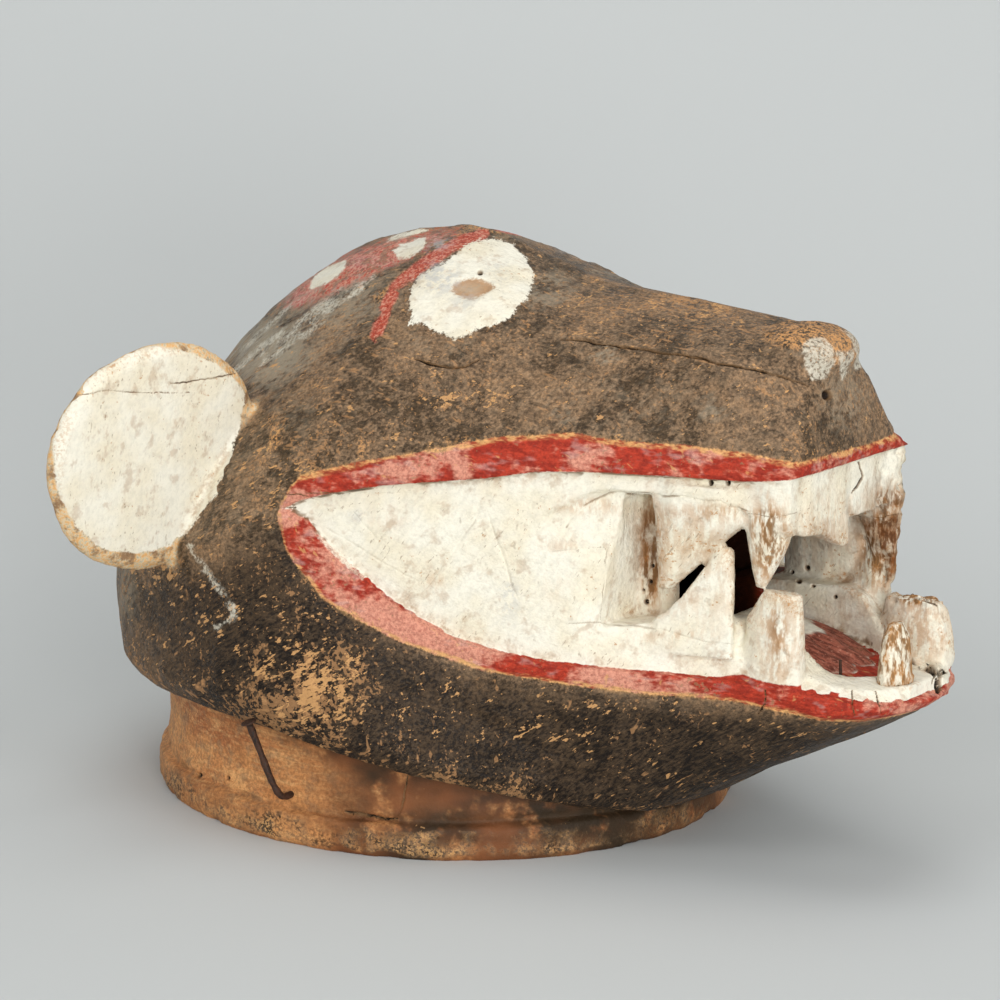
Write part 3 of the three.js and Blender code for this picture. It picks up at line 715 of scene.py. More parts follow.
def bends(surface, rounds):
    """How hollow each place is over the given number of steps: above zero in a hollow, below on an edge."""
    normals = surface.normals()
    drawn = surface.spread(surface.points, rounds)
    bend = ((drawn - surface.points) * normals).sum(1)
    bend = surface.spread(bend, 2)
    return np.clip(bend / (np.percentile(np.abs(bend), 92) + 1e-9), -1.5, 1.5)


def mark_paint(surface, zone, dark):
    """Stores where each paint lies: distances in millimetres inside its edge, or weights from 0 to 1."""
    points = surface.points
    normals = surface.normals()
    near, turned = fold(points, normals)
    x, y, z = points.T
    side = np.abs(y)
    _, _, back = plate_axes()
    places = on_plate(near)
    outside = -20.0
    skin = zone["skin"] & (turned @ back > -0.05)

    def shown(outline, where=skin):
        return np.where(where, np.clip(inside_distance(places, outline) * PLATE_MM, outside, 20), outside)

    def stroke(line, width):
        gap, _ = line_distance(places, line)
        return np.where(skin, np.clip(width / 2 - gap * PLATE_MM, outside, 20), outside)

    band = inside_distance(np.stack([x, z], 1), BAND_EDGE)
    band[(x < 0) | zone["collar"] | zone["hollow"]] = outside
    surface.store("band", np.clip(band, outside, 20))

    gap_up, gap_down = lip_height(x) - z, z - jaw_height(x)
    gap_down = gap_down - 2.8 * ease(x, 195, 210)
    mouth = np.minimum(gap_up, gap_down)
    mouth = np.where(zone["mouth"], np.maximum(mouth, np.where(side < lip_half(x) - LIP_STEP + 1, 1.0, -2)), np.minimum(mouth, 0))
    mouth[zone["throat"] | zone["hollow"] | (x < MOUTH_CORNER)] = outside
    ledge = (side > jaw_half(x) - LIP_STEP + 0.6) & (z < jaw_height(x) + 3) & (x < 205) & (x > 50)
    mouth = np.where(ledge, np.minimum(mouth, -1.0 - 0.8 * unevenness(points, 10, 53)), mouth)
    surface.store("mouth", np.clip(mouth, outside, 20))

    inner = (side < lip_half(x) - 1.5) & (x > MOUTH_CORNER + 4) & (x < NOSE_FRONT + 20)
    # Painted shadow: a dark line in the crease where each lip steps back to the white of the mouth
    lip_shadow = np.maximum(ease(np.abs(gap_up - 0.5), 1.0, 0.3), 0.8 * ease(np.abs(gap_down - 0.2), 1.1, 0.3)) * inner
    lip_shadow *= ease(unevenness(points, 9, 26) + 0.5 * unevenness(points, 3, 27), -0.5, 0.3) * (x < 228)
    dark = np.maximum(dark, 0.75 * lip_shadow)

    round_collar = np.hypot(x, y * COLLAR_LONG / COLLAR_WIDE)
    wood = -np.maximum(round_collar - 145.7, z - paint_edge_height(x) - 0.8)
    surface.store("bare", np.clip(wood, outside, 20))

    face = surface.spread(zone["face"].astype(float), 3)
    surface.store("ear_face", shown(EAR_WHITE, face > 0.02))
    surface.store("ear_side", surface.spread((zone["rim"] | zone["back"] | zone["face"]).astype(float), 3))

    horizon = np.where(y > 0, -120 * (surface.spread(normals @ back, 8) + 0.03), 20)
    for name, outline in (("eye", EYE_RING), ("pupil", PUPIL)):
        lowered = places - np.where(y > 0, LEFT_EYE_DROP, 0)[:, None] * [0, 1]
        ring = np.where(skin, np.clip(inside_distance(lowered, outline) * PLATE_MM, outside, 20), outside)
        surface.store(name, np.clip(np.minimum(ring, horizon), outside, 20))
    patches = np.maximum.reduce([shown(patch) for patch in CREST_PATCHES])
    surface.store("crest_white", patches)
    surface.store("crest", shown(CREST_BAND))
    surface.store("stripe", stroke(EYE_STRIPE, 6.0))
    nose = np.maximum.reduce([shown(patch) for patch in NOSE_PATCHES])
    streaks = np.maximum.reduce([stroke(line, 1.5) for line in DOME_WORN_AND_SHEEN_STREAKS])
    surface.store("pale", np.maximum.reduce([nose, stroke(CHEEK_SMEAR, 2.6), streaks]))
    surface.store("scratch", np.maximum.reduce([stroke(line, 1.0) for line in PALE_SCRATCHES]))

    surface.store("tongue", surface.spread(zone["tongue"].astype(float), 1))
    # Painted shade over the wood inside the hollow and the throat
    inside = surface.spread((zone["hollow"] | zone["throat"]).astype(float), 1)
    surface.store("inside", inside)
    # Weight of dark brown over the bare wood: real grime in patches on the rim, and painted shade inside the hollow,
    # over the front of the collar and just under the overhanging head
    rim = zone["collar"] * (0.3 + 0.4 * unevenness(points, 22, 28)) * ease(z, RIM_HEIGHT + 1, RIM_HEIGHT - 2)
    front = zone["collar"] * 0.95 * ease(x, 0, 60) * (0.55 + 0.45 * ease(z, 4, 20))
    under = zone["collar"] * 0.6 * ease(paint_edge_height(x) - z, 16, 1) * ease(x, -60, 20)
    surface.store("grime_and_shade", np.clip(np.maximum.reduce([inside, rim + front, under + front]), 0, 1))
    # Dark of the cracks and holes, with the painted shadow line along the lips
    surface.store("crack_and_lip_shadow", dark)
    surface.store("hollowed", bends(surface, 3))
    surface.store("rounded", bends(surface, 12))


def mark_wear(surface, zone):
    """Stores how rubbed, dusty, stained and golden the coats are, and where they carry painted sheen and painted shade.
    """
    points = surface.points
    normals = surface.normals()
    near, turned = fold(points, normals)
    x, y, z = points.T
    _, _, back = plate_axes()
    places, true_places = on_plate(near), on_plate(points)
    skin = zone["skin"] & (turned @ back > -0.3)
    seen = normals @ back > 0

    def spots(rows, on, where):
        total = np.zeros(surface.count)
        for u, v, wide, high, strength in rows:
            reach = np.hypot((on[:, 0] - u) / wide, (on[:, 1] - v) / high)
            total = np.maximum(total, strength * ease(reach, 1.25, 0.35))
        return total * where

    golden = np.full(surface.count, -20.0)
    for u, v, wide, high, strength in GOLDEN_SPOTS:
        reach = np.hypot((places[:, 0] - u) / wide, (places[:, 1] - v) / high)
        size = min(wide, high) * PLATE_MM
        golden = np.maximum(golden, (1 - reach) * size - (1 - strength) * 6)
    surface.store("golden", np.where(skin, np.clip(golden, -20, 20), -20))
    # Grey over the dark coat: dust where it faces up, and dust with painted sheen in the listed spots
    top = 0.3 * ease(normals[:, 2], 0.3, 0.95) * (x < 10) + 0.1
    surface.store("dust_and_sheen", np.maximum(spots(DUST_AND_SHEEN_SPOTS, places, skin), top * skin))
    surface.store("speckle", spots(SPECKLED_SPOTS, places, skin))
    surface.store("ash", spots(ASHEN_SPOTS, places, turned @ back > 0))
    # Darker paint and painted shade low on the head: under the jaw and low at the back
    below = ease(jaw_height(x) - z, 5, 20) * ease(x, -120, -30)
    low_back = 0.55 * ease(z, 115, 60) * ease(x, 0, -60)
    surface.store("low_shade_and_dark", surface.spread(np.maximum(below, low_back) * zone["skin"], 2))
    surface.store("rub", spots(RUBBED_SPOTS, places, skin) + 0.15)
    surface.store("pink", spots(PINK_SPOTS, places, np.ones(surface.count)))
    shade = np.zeros(surface.count)
    wander = np.stack([unevenness(points, 7, 51), unevenness(points, 7, 52)], 1) * 3
    for outline, strength in SHADED_PLACES:
        inside = inside_distance(true_places + wander, outline) * PLATE_MM
        shade = np.maximum(shade, strength * ease(inside, -2.5, 3.5))
    surface.store("shade", surface.spread(shade * (zone["mouth"] & seen), 1))
    # Brown on the white of the mouth: real stains on the teeth, and painted shade in the niche and round the fangs
    stain_and_shade = spots(STAIN_AND_SHADE_SPOTS, true_places, zone["mouth"] & seen)
    hidden = zone["mouth"] & ~seen
    stain_and_shade = np.maximum(stain_and_shade, 0.55 * hidden * zone["teeth"])
    stain_and_shade = np.maximum(stain_and_shade, 0.38 * zone["teeth"])
    surface.store("stain_and_shade", surface.spread(stain_and_shade, 2))
    edge = ease(surface.spread(zone["rim"].astype(float), 6), 0.02, 0.5)
    junction = ease(inside_distance(places, EAR_WHITE) * PLATE_MM, 14, 2) * zone["face"]
    junction = junction * ease(places[:, 0] + places[:, 1], 640, 690) * (places[:, 0] > 150)
    surface.store("white_rub", 0.35 * zone["teeth"] + 0.12 + 0.25 * edge + 0.45 * junction)


# Materials


class Net:
    """Places nodes in a tree and wires them."""

    def __init__(self, tree):
        self.tree = tree

    def add(self, kind, inputs=None, **settings):
        node = self.tree.nodes.new("ShaderNode" + kind)
        for name, value in settings.items():
            setattr(node, name, value)
        for name, value in (inputs or {}).items():
            self.feed(node.inputs[name], value)
        return node

    def feed(self, socket, value):
        if isinstance(value, bpy.types.NodeSocket):
            self.tree.links.new(value, socket)
        elif socket.type == "RGBA":
            socket.default_value = (*value[:3], 1.0)
        else:
            socket.default_value = value

    def math(self, operation, *values, clamp=False):
        node = self.add("Math", operation=operation, use_clamp=clamp)
        for socket, value in zip(node.inputs, values):
            self.feed(socket, value)
        return node.outputs[0]

    def noise(self, place, size, detail=2.0, roughness=0.5, distortion=0.0):
        """Noise whose lumps are about size millimetres across."""
        inputs = {
            "Vector": place, "Scale": 1000 / size, "Detail": detail, "Roughness": roughness,
            "Distortion": distortion,
        }
        return self.add("TexNoise", inputs).outputs["Fac"]

    def span(self, value, low, high, start=0.0, end=1.0):
        """Smooth step of a value from low to high."""
        inputs = {"Value": value, "From Min": low, "From Max": high, "To Min": start, "To Max": end}
        return self.add("MapRange", inputs, interpolation_type="SMOOTHSTEP").outputs["Result"]

    def mix(self, share, first, second, blend="MIX"):
        node = self.add("Mix", data_type="RGBA", blend_type=blend, clamp_factor=True)
        for index, value in ((0, share), (6, first), (7, second)):
            self.feed(node.inputs[index], value)
        return node.outputs[2]

    def blend(self, share, first, second):
        node = self.add("Mix", data_type="FLOAT", clamp_factor=True)
        for index, value in ((0, share), (2, first), (3, second)):
            self.feed(node.inputs[index], value)
        return node.outputs[0]

    def value(self, name):
        return self.add("Attribute", attribute_name=name).outputs["Fac"]

    def stretched(self, place, scale, turn=(0.0, 0.0, 0.0)):
        """The place squeezed along its axes, after it is turned by the given radians."""
        if any(turn):
            place = self.add("Mapping", {"Vector": place, "Rotation": turn}).outputs["Vector"]
        return self.add("Mapping", {"Vector": place, "Scale": scale}).outputs["Vector"]

    def shade(self, colour, share):
        """The colour made darker or lighter by a factor that changes over the surface."""
        grey = self.add("CombineColor", {"Red": share, "Green": share, "Blue": share}).outputs["Color"]
        return self.mix(1.0, colour, grey, "MULTIPLY")

    def use(self, group, inputs):
        node = self.add("Group", node_tree=group)
        for name, value in inputs.items():
            self.feed(node.inputs[name], value)
        return node.outputs


def new_group(name, inputs, outputs):
    """A node group ready to fill, its net and its named inputs. One that exists keeps its sockets and users."""
    group = bpy.data.node_groups.get(name)
    if group:
        group.nodes.clear()
    else:
        group = bpy.data.node_groups.new(name, "ShaderNodeTree")
        for direction, sockets in (("INPUT", inputs), ("OUTPUT", outputs)):
            for label, kind in sockets.items():
                group.interface.new_socket(name=label, in_out=direction, socket_type="NodeSocket" + kind)
    source = group.nodes.new("NodeGroupInput")
    return group, Net(group), source.outputs


def close_group(net, outputs):
    target = net.tree.nodes.new("NodeGroupOutput")
    for name, value in outputs.items():
        net.feed(target.inputs[name], value)
    return net.tree


def grain_group():
    """Fibres of the wood along the mask, as streaks and as height."""
    _, net, given = new_group("Wood grain", {"Place": "Vector"}, {"Streaks": "Float", "Height": "Float"})
    long = net.stretched(given["Place"], (0.09, 1.0, 1.0))
    wide = net.noise(long, 3.2, 1.0, 0.6)
    fine = net.noise(long, 0.8, 1.0, 0.6)
    streaks = net.blend(0.45, wide, fine)
    return close_group(net, {"Streaks": streaks, "Height": net.math("MULTIPLY", streaks, 0.35)})


def ragged_edge_group():
    """Turns a distance inside a painted shape into cover with a worn, brushed edge."""
    _, net, given = new_group(
        "Ragged paint edge", {"Place": "Vector", "Inside": "Float", "Raggedness": "Float", "Softness": "Float"},
        {"Cover": "Float"},
    )
    slow = net.math("SUBTRACT", net.noise(given["Place"], 9.0, 2.0), 0.5)
    fast = net.math("SUBTRACT", net.noise(given["Place"], 1.6, 2.0, 0.7), 0.5)
    shift = net.math("MULTIPLY", net.math("ADD", slow, fast), given["Raggedness"])
    place = net.math("ADD", given["Inside"], shift)
    low = net.math("MULTIPLY", given["Softness"], -1.0)
    return close_group(net, {"Cover": net.span(place, low, given["Softness"])})


def flakes_group():
    """Scattered small patches where a top coat is missing, more of them as Amount rises."""
    _, net, given = new_group(
        "Flaked spots", {"Place": "Vector", "Amount": "Float"}, {"Spots": "Float", "Scratches": "Float"}
    )
    small = net.noise(given["Place"], 2.4, 2.0, 0.7)
    broad = net.noise(given["Place"], 20.0, 2.0)
    level = net.math("ADD", net.blend(0.34, small, broad), given["Amount"])
    spots = net.span(level, 0.615, 0.66)
    line = net.noise(net.stretched(given["Place"], (0.16, 0.9, 0.25)), 1.5, 2.0, 0.55)
    scratches = net.span(net.math("ADD", line, given["Amount"]), 0.66, 0.74)
    return close_group(net, {"Spots": spots, "Scratches": scratches})


def dark_paint_group(colours, grain, flakes):
    """Old brown-black coat, rubbed warm on its edges, flecked, grey with dust where it faces up, grey with dust and
    painted sheen on the dome and muzzle, and darker low down with darker paint and painted shade.
    """
    _, net, given = new_group(
        "Old dark paint",
        {"Place": "Vector", "Rounded": "Float", "Dust_and_sheen": "Float", "Rub": "Float", "Speckle": "Float", "Low_shade_and_dark": "Float"},
        {"Colour": "Color", "Height": "Float", "Gloss": "Float"},
    )
    place = given["Place"]
    fibres = net.use(grain, {"Place": place})
    broad = net.span(net.noise(place, 40.0, 2.0, 0.6), 0.36, 0.64)
    patch = net.span(net.noise(place, 7.0, 3.0, 0.7), 0.36, 0.64)
    slant = net.stretched(place, (0.3, 1.0, 1.0), (0.0, 0.5, 0.0))
    strokes = net.span(net.noise(slant, 1.3, 2.0, 0.7), 0.34, 0.66)
    tiny = net.noise(place, 1.6, 2.0, 0.7)
    warmth = net.blend(0.3, net.blend(0.5, broad, patch), strokes)
    colour = net.mix(net.span(warmth, 0.2, 0.6), colours.dark, colours.dark_warm)
    colour = net.mix(net.span(warmth, 0.5, 0.9, 0.0, 0.6), colour, colours.brown)
    colour = net.shade(colour, net.span(tiny, 0.32, 0.68, 0.6, 1.45))
    colour = net.shade(colour, net.span(fibres["Streaks"], 0.25, 0.75, 0.8, 1.18))
    lines = net.noise(net.stretched(place, (0.2, 0.8, 1.0), (0.0, 0.75, 0.2)), 2.6, 3.0, 0.6)
    film = net.blend(0.6, net.noise(place, 14.0, 3.0, 0.6), lines)
    level = net.math("ADD", film, net.math("MULTIPLY", given["Dust_and_sheen"], 0.12))
    dust_and_sheen_cover = net.math("MULTIPLY", net.math("MINIMUM", given["Dust_and_sheen"], 1.0), net.span(level, 0.47, 0.64))
    colour = net.mix(net.math("MULTIPLY", dust_and_sheen_cover, 0.8, clamp=True), colour, colours.dust_and_sheen)
    # Darker paint and painted shade low on the head, down towards the crack black
    low_shaded = net.math("MULTIPLY", given["Low_shade_and_dark"], net.span(warmth, 0.2, 0.8, 0.98, 0.84))
    colour = net.mix(low_shaded, colour, net.mix(net.span(strokes, 0.0, 1.0, 0.0, 0.55), colours.black, colours.dark))
    amount = net.math("ADD", net.math("MULTIPLY", given["Rounded"], -0.08), net.math("MULTIPLY", given["Rub"], 0.10))
    worn = net.use(flakes, {"Place": place, "Amount": net.math("SUBTRACT", amount, 0.02)})
    colour = net.mix(net.math("MULTIPLY", worn["Spots"], 0.5), colour, colours.worn)
    colour = net.mix(net.math("MULTIPLY", worn["Scratches"], 0.5), colour, colours.worn)
    chips = net.blend(0.4, net.noise(slant, 1.9, 2.0, 0.72), net.noise(place, 9.0, 2.0))
    chips = net.span(net.math("ADD", chips, net.math("MULTIPLY", given["Speckle"], 0.12)), 0.615, 0.65)
    colour = net.mix(net.math("MULTIPLY", chips, 0.85), colour, net.mix(tiny, colours.ochre, colours.worn))
    height = net.math("ADD", net.math("MULTIPLY", tiny, 0.3), net.math("MULTIPLY", strokes, 0.3))
    height = net.math("ADD", height, fibres["Height"])
    gloss = net.blend(worn["Spots"], net.span(patch, 0, 1, 0.42, 0.60), 0.72)
    return close_group(net, {"Colour": colour, "Height": height, "Gloss": gloss})


def white_paint_group(colours, grain, flakes):
    """Thick chalky white over wood, with brown in its hollows, and stains and painted brown shade where they are asked
    for.
    """
    _, net, given = new_group(
        "Chalky white paint",
        {"Place": "Vector", "Hollowed": "Float", "Stain_and_shade": "Float", "Rub": "Float"},
        {"Colour": "Color", "Height": "Float"},
    )
    place = given["Place"]
    fibres = net.use(grain, {"Place": place})
    broad = net.span(net.noise(place, 20.0, 2.0), 0.35, 0.7)
    fine = net.noise(place, 1.6, 2.0, 0.7)
    colour = net.mix(net.math("MULTIPLY", broad, 0.5), colours.white, colours.cream)
    colour = net.shade(colour, net.span(net.noise(net.stretched(place, (0.4, 1.0, 1.0), (0.0, 0.8, 0.0)), 2.0, 2.0, 0.7), 0.3, 0.6, 0.93, 1.03))
    upright = net.stretched(place, (1.0, 1.0, 0.35))
    stain_and_shade = net.math("MULTIPLY", given["Stain_and_shade"], net.span(net.noise(upright, 3.6, 3.0, 0.7), 0.38, 0.60))
    colour = net.mix(net.math("MULTIPLY", stain_and_shade, 0.72, clamp=True), colour, colours.stain_and_shade)
    deep = net.math("MULTIPLY", net.span(given["Stain_and_shade"], 0.7, 1.5), net.span(net.noise(upright, 1.8, 2.0), 0.42, 0.6))
    colour = net.mix(net.math("MULTIPLY", deep, 0.8), colour, colours.dirt)
    dirt = net.math("MULTIPLY", net.span(given["Hollowed"], 0.45, 1.5), net.span(net.noise(place, 5.0, 3.0, 0.7), 0.4, 0.64))
    colour = net.mix(net.math("MULTIPLY", dirt, 0.7), colour, net.mix(fine, colours.dirt, colours.stain_and_shade))
    edge = net.math("MULTIPLY", net.span(given["Hollowed"], -0.7, -1.5), net.span(fine, 0.46, 0.62))
    colour = net.mix(net.math("MULTIPLY", edge, 0.5), colour, colours.stain_and_shade)
    smudge = net.span(net.noise(net.stretched(place, (0.6, 1.0, 0.8), (0.0, 0.6, 0.0)), 7.0, 3.0, 0.7), 0.53, 0.68)
    colour = net.mix(net.math("MULTIPLY", smudge, 0.34), colour, net.mix(fine, colours.dirt, colours.stain_and_shade))
    hair = net.noise(net.stretched(place, (0.10, 1.0, 1.0), (0.0, 0.9, 0.0)), 1.3, 2.0, 0.55)
    crazed = net.math("MULTIPLY", net.span(hair, 0.655, 0.70), net.span(net.noise(place, 20.0, 2.0), 0.44, 0.58))
    colour = net.mix(net.math("MULTIPLY", crazed, 0.5), colour, colours.dirt)
    amount = net.math("ADD", -0.05, net.math("MULTIPLY", given["Rub"], 0.14))
    worn = net.use(flakes, {"Place": place, "Amount": amount})
    colour = net.mix(net.math("MULTIPLY", worn["Spots"], 0.7), colour, colours.stain_and_shade)
    colour = net.mix(net.math("MULTIPLY", worn["Scratches"], 0.35), colour, colours.dirt)
    brush = net.noise(net.stretched(place, (0.35, 1.0, 0.7)), 2.4, 2.0, 0.6)
    height = net.math("ADD", net.math("MULTIPLY", brush, 0.8), net.math("MULTIPLY", fine, 0.4))
    height = net.math("ADD", height, net.math("MULTIPLY", fibres["Height"], 0.4))
    return close_group(net, {"Colour": colour, "Height": height})


def red_paint_group(colours, flakes):
    """Brick red that is rubbed to pink in patches and to ochre at its edges."""
    _, net, given = new_group(
        "Rubbed red paint", {"Place": "Vector", "Rub": "Float", "Edge": "Float"}, {"Colour": "Color"}
    )
    place = given["Place"]
    patch = net.noise(place, 15.0, 3.0, 0.66)
    drawn = net.stretched(place, (0.3, 0.6, 1.0))
    strokes = net.noise(drawn, 2.2, 2.0, 0.7)
    small = net.noise(place, 1.6, 2.0, 0.7)
    colour = net.mix(net.span(strokes, 0.36, 0.64), colours.red_deep, colours.red)
    pink = net.math("ADD", net.blend(0.3, patch, strokes), net.math("MULTIPLY", given["Rub"], 0.26))
    pink = net.span(pink, 0.53, 0.68)
    colour = net.mix(net.math("MULTIPLY", pink, net.span(small, 0.25, 0.65, 0.62, 0.92)), colour, colours.pink)
    film = net.math("MULTIPLY", net.span(net.noise(drawn, 5.0, 2.0, 0.65), 0.56, 0.70), 0.34)
    colour = net.mix(film, colour, net.mix(0.5, colours.ash, colours.pink))
    colour = net.mix(net.math("MULTIPLY", given["Edge"], net.span(strokes, 0.36, 0.6, 0.1, 0.9)), colour, colours.ochre)
    colour = net.shade(colour, net.span(small, 0.3, 0.68, 0.82, 1.14))
    worn = net.use(flakes, {"Place": place, "Amount": 0.01})
    colour = net.mix(net.math("MULTIPLY", worn["Spots"], 0.6), colour, colours.brown)
    colour = net.mix(net.math("MULTIPLY", worn["Scratches"], 0.5), colour, colours.ochre)
    return close_group(net, {"Colour": colour})


def bare_wood_group(colours, grain, flakes):
    """Handled orange-brown wood with darker streaks, darker in its hollows, and grime and painted shade where they are
    asked for.
    """
    _, net, given = new_group(
        "Bare wood", {"Place": "Vector", "Hollowed": "Float", "Grime_and_shade": "Float"},
        {"Colour": "Color", "Height": "Float"},
    )
    place = given["Place"]
    fibres = net.use(grain, {"Place": place})
    broad = net.span(net.noise(net.stretched(place, (0.6, 0.6, 1.0)), 34.0, 3.0, 0.6), 0.36, 0.66)
    colour = net.mix(broad, colours.wood, colours.wood_dark)
    colour = net.mix(net.span(fibres["Streaks"], 0.42, 0.72, 0.0, 0.6), colour, colours.wood_light)
    patch = net.span(net.noise(place, 7.0, 3.0, 0.7), 0.48, 0.66)
    colour = net.mix(net.math("MULTIPLY", patch, 0.6), colour, colours.brown)
    colour = net.shade(colour, net.span(net.noise(place, 1.6, 2.0, 0.7), 0.34, 0.66, 0.74, 1.2))
    # Grime, and painted shade, turn the wood towards a dark brown
    grime_and_shade = net.math("MULTIPLY", given["Grime_and_shade"], net.span(net.noise(place, 14.0, 3.0, 0.6), 0.2, 0.48))
    colour = net.mix(grime_and_shade, colour, net.shade(net.mix(broad, colours.wood_dark, colours.dark), 0.55))
    hollow = net.span(given["Hollowed"], 0.3, 1.3, 0.0, 0.7)
    colour = net.mix(hollow, colour, colours.dark)
    worn = net.use(flakes, {"Place": place, "Amount": -0.05})
    colour = net.mix(net.math("MULTIPLY", worn["Spots"], 0.4), colour, colours.wood_light)
    height = net.math("ADD", fibres["Height"], net.math("MULTIPLY", net.noise(place, 1.6, 2.0, 0.7), 0.3))
    return close_group(net, {"Colour": colour, "Height": height})


def new_material(name):
    """A node material, its net, its shader and the object's own coordinates."""
    old = bpy.data.materials.get(name)
    if old:
        bpy.data.materials.remove(old)
    material = bpy.data.materials.new(name)
    material.use_nodes = True
    net = Net(material.node_tree)
    shader = material.node_tree.nodes["Principled BSDF"]
    place = net.add("TexCoord").outputs["Object"]
    return material, net, shader, place


def raise_surface(net, shader, height, depth):
    """Bumps the shader's surface by height times depth millimetres."""
    inputs = {"Strength": 1.0, "Distance": depth * MM, "Height": height}
    net.feed(shader.inputs["Normal"], net.add("Bump", inputs).outputs["Normal"])


def head_material(colours):
    """Every coat on the head, one over the other, each where its mark lies."""
    grain, flakes, ragged = grain_group(), flakes_group(), ragged_edge_group()
    dark_paint = dark_paint_group(colours, grain, flakes)
    white_paint = white_paint_group(colours, grain, flakes)
    red_paint = red_paint_group(colours, flakes)
    bare_wood = bare_wood_group(colours, grain, flakes)
    material, net, shader, place = new_material("Painted mask wood")
    rounded, hollowed = net.value("rounded"), net.value("hollowed")
    stain_and_shade, rub, dust_and_sheen = net.value("stain_and_shade"), net.value("rub"), net.value("dust_and_sheen")

    def cover(name, raggedness, softness):
        inputs = {"Place": place, "Inside": net.value(name), "Raggedness": raggedness, "Softness": softness}
        return net.use(ragged, inputs)["Cover"]

    skin = net.use(dark_paint, {
        "Place": place, "Rounded": rounded, "Dust_and_sheen": dust_and_sheen, "Rub": rub, "Speckle": net.value("speckle"),
        "Low_shade_and_dark": net.value("low_shade_and_dark"),
    })
    white = net.use(white_paint, {"Place": place, "Hollowed": hollowed, "Stain_and_shade": stain_and_shade, "Rub": net.value("white_rub")})
    wood = net.use(bare_wood, {"Place": place, "Hollowed": hollowed, "Grime_and_shade": net.value("grime_and_shade")})
    band = net.value("band")
    edge = net.span(net.math("ADD", band, net.math("MULTIPLY", net.noise(place, 14.0, 3.0, 0.6), -5.0)), 0.0, -1.6)
    red = net.use(red_paint, {"Place": place, "Rub": net.value("pink"), "Edge": edge})["Colour"]

    colour, height, gloss = skin["Colour"], skin["Height"], skin["Gloss"]
    fine = net.noise(place, 1.6, 2.0, 0.7)
    golden = cover("golden", 6.0, 2.4)
    golden = net.math("MULTIPLY", golden, net.span(fine, 0.44, 0.58, 0.0, 0.9))
    colour = net.mix(golden, colour, net.mix(fine, colours.ochre, colours.wood))
    # Pale marks: white nostril patches, a smear on the cheek, and the dome's worn streaks with their painted sheen
    pale = net.math("MULTIPLY", cover("pale", 3.0, 1.0), net.span(fine, 0.32, 0.56, 0.15, 0.85))
    colour = net.mix(pale, colour, net.mix(fine, colours.dust_and_sheen, colours.white))
    scratch = net.math("MULTIPLY", cover("scratch", 1.2, 0.4), net.span(fine, 0.36, 0.6, 0.1, 0.9))
    colour = net.mix(scratch, colour, colours.ochre)

    halo = net.span(net.math("ADD", band, net.math("MULTIPLY", net.noise(place, 8.0, 3.0, 0.75), 5.0)), 1.0, 3.6)
    halo = net.math("MULTIPLY", halo, net.span(fine, 0.3, 0.6, 0.15, 0.95))
    halo = net.math("MULTIPLY", halo, net.span(net.noise(place, 20.0, 2.0), 0.42, 0.60, 0.0, 0.9))
    colour = net.mix(halo, colour, net.mix(fine, colours.ochre, colours.brown))
    red_cover = cover("band", 1.6, 0.5)
    colour = net.mix(red_cover, colour, red)
    crest = net.math("MULTIPLY", cover("crest", 5.0, 2.2), net.span(net.noise(place, 5.0, 3.0, 0.7), 0.40, 0.56, 0.3, 1.0))
    colour = net.mix(crest, colour, net.mix(net.span(fine, 0.4, 0.62), colours.pink, colours.red))
    stripe = net.math("MULTIPLY", cover("stripe", 2.4, 0.8), net.span(fine, 0.3, 0.5, 0.55, 0.95))
    colour = net.mix(stripe, colour, net.mix(net.span(fine, 0.4, 0.7), colours.red, colours.pink))

    inside_eye = net.value("eye")
    eye, pupil = cover("eye", 5.0, 0.5), cover("pupil", 3.0, 0.9)
    crest = cover("crest_white", 2.6, 0.5)
    mouth = cover("mouth", 0.9, 0.35)
    face = cover("ear_face", 3.4, 0.5)
    side = net.value("ear_side")
    rim_patch = net.span(net.noise(place, 7.0, 3.0, 0.7), 0.46, 0.66)
    rim_colour = net.mix(rim_patch, net.mix(net.span(fine, 0.35, 0.65), colours.cream, colours.ochre), colours.brown)
    rimmed = net.math("MULTIPLY", net.span(side, 0.2, 0.9), net.span(fine, 0.3, 0.5, 0.6, 1.0))
    colour = net.mix(rimmed, colour, rim_colour)

    chalk = net.math("MAXIMUM", net.math("MAXIMUM", eye, crest), net.math("MAXIMUM", mouth, face))
    # Painted shade in the mouth: the white multiplied by brown where the shade weight is high
    shaded = net.math("MULTIPLY", net.value("shade"), net.span(net.noise(place, 5.0, 3.0, 0.7), 0.3, 0.56, 0.55, 1.0))
    white_in_painted_shade = net.mix(1.0, white["Colour"], net.mix(fine, colours.stain_and_shade, colours.dirt), "MULTIPLY")
    colour = net.mix(chalk, colour, net.mix(shaded, white["Colour"], white_in_painted_shade))
    middle = net.span(net.value("pupil"), 1.2, 4.0)
    pupil_colour = net.mix(middle, net.mix(fine, colours.worn, colours.brown), net.mix(fine, colours.worn, colours.dust_and_sheen))
    colour = net.mix(net.math("MULTIPLY", pupil, 0.9), colour, pupil_colour)
    ash = net.math("MULTIPLY", net.value("ash"), net.span(net.noise(place, 5.0, 3.0, 0.7), 0.40, 0.60))
    colour = net.mix(net.math("MULTIPLY", ash, 0.62, clamp=True), colour, colours.ash)
    bare = cover("bare", 1.4, 0.5)
    crumbs = net.math("MULTIPLY", net.span(net.value("bare"), -3.5, -0.6), net.span(fine, 0.48, 0.6))
    colour = net.mix(net.math("MULTIPLY", crumbs, 0.7), colour, colours.ochre)
    colour = net.mix(bare, colour, wood["Colour"])
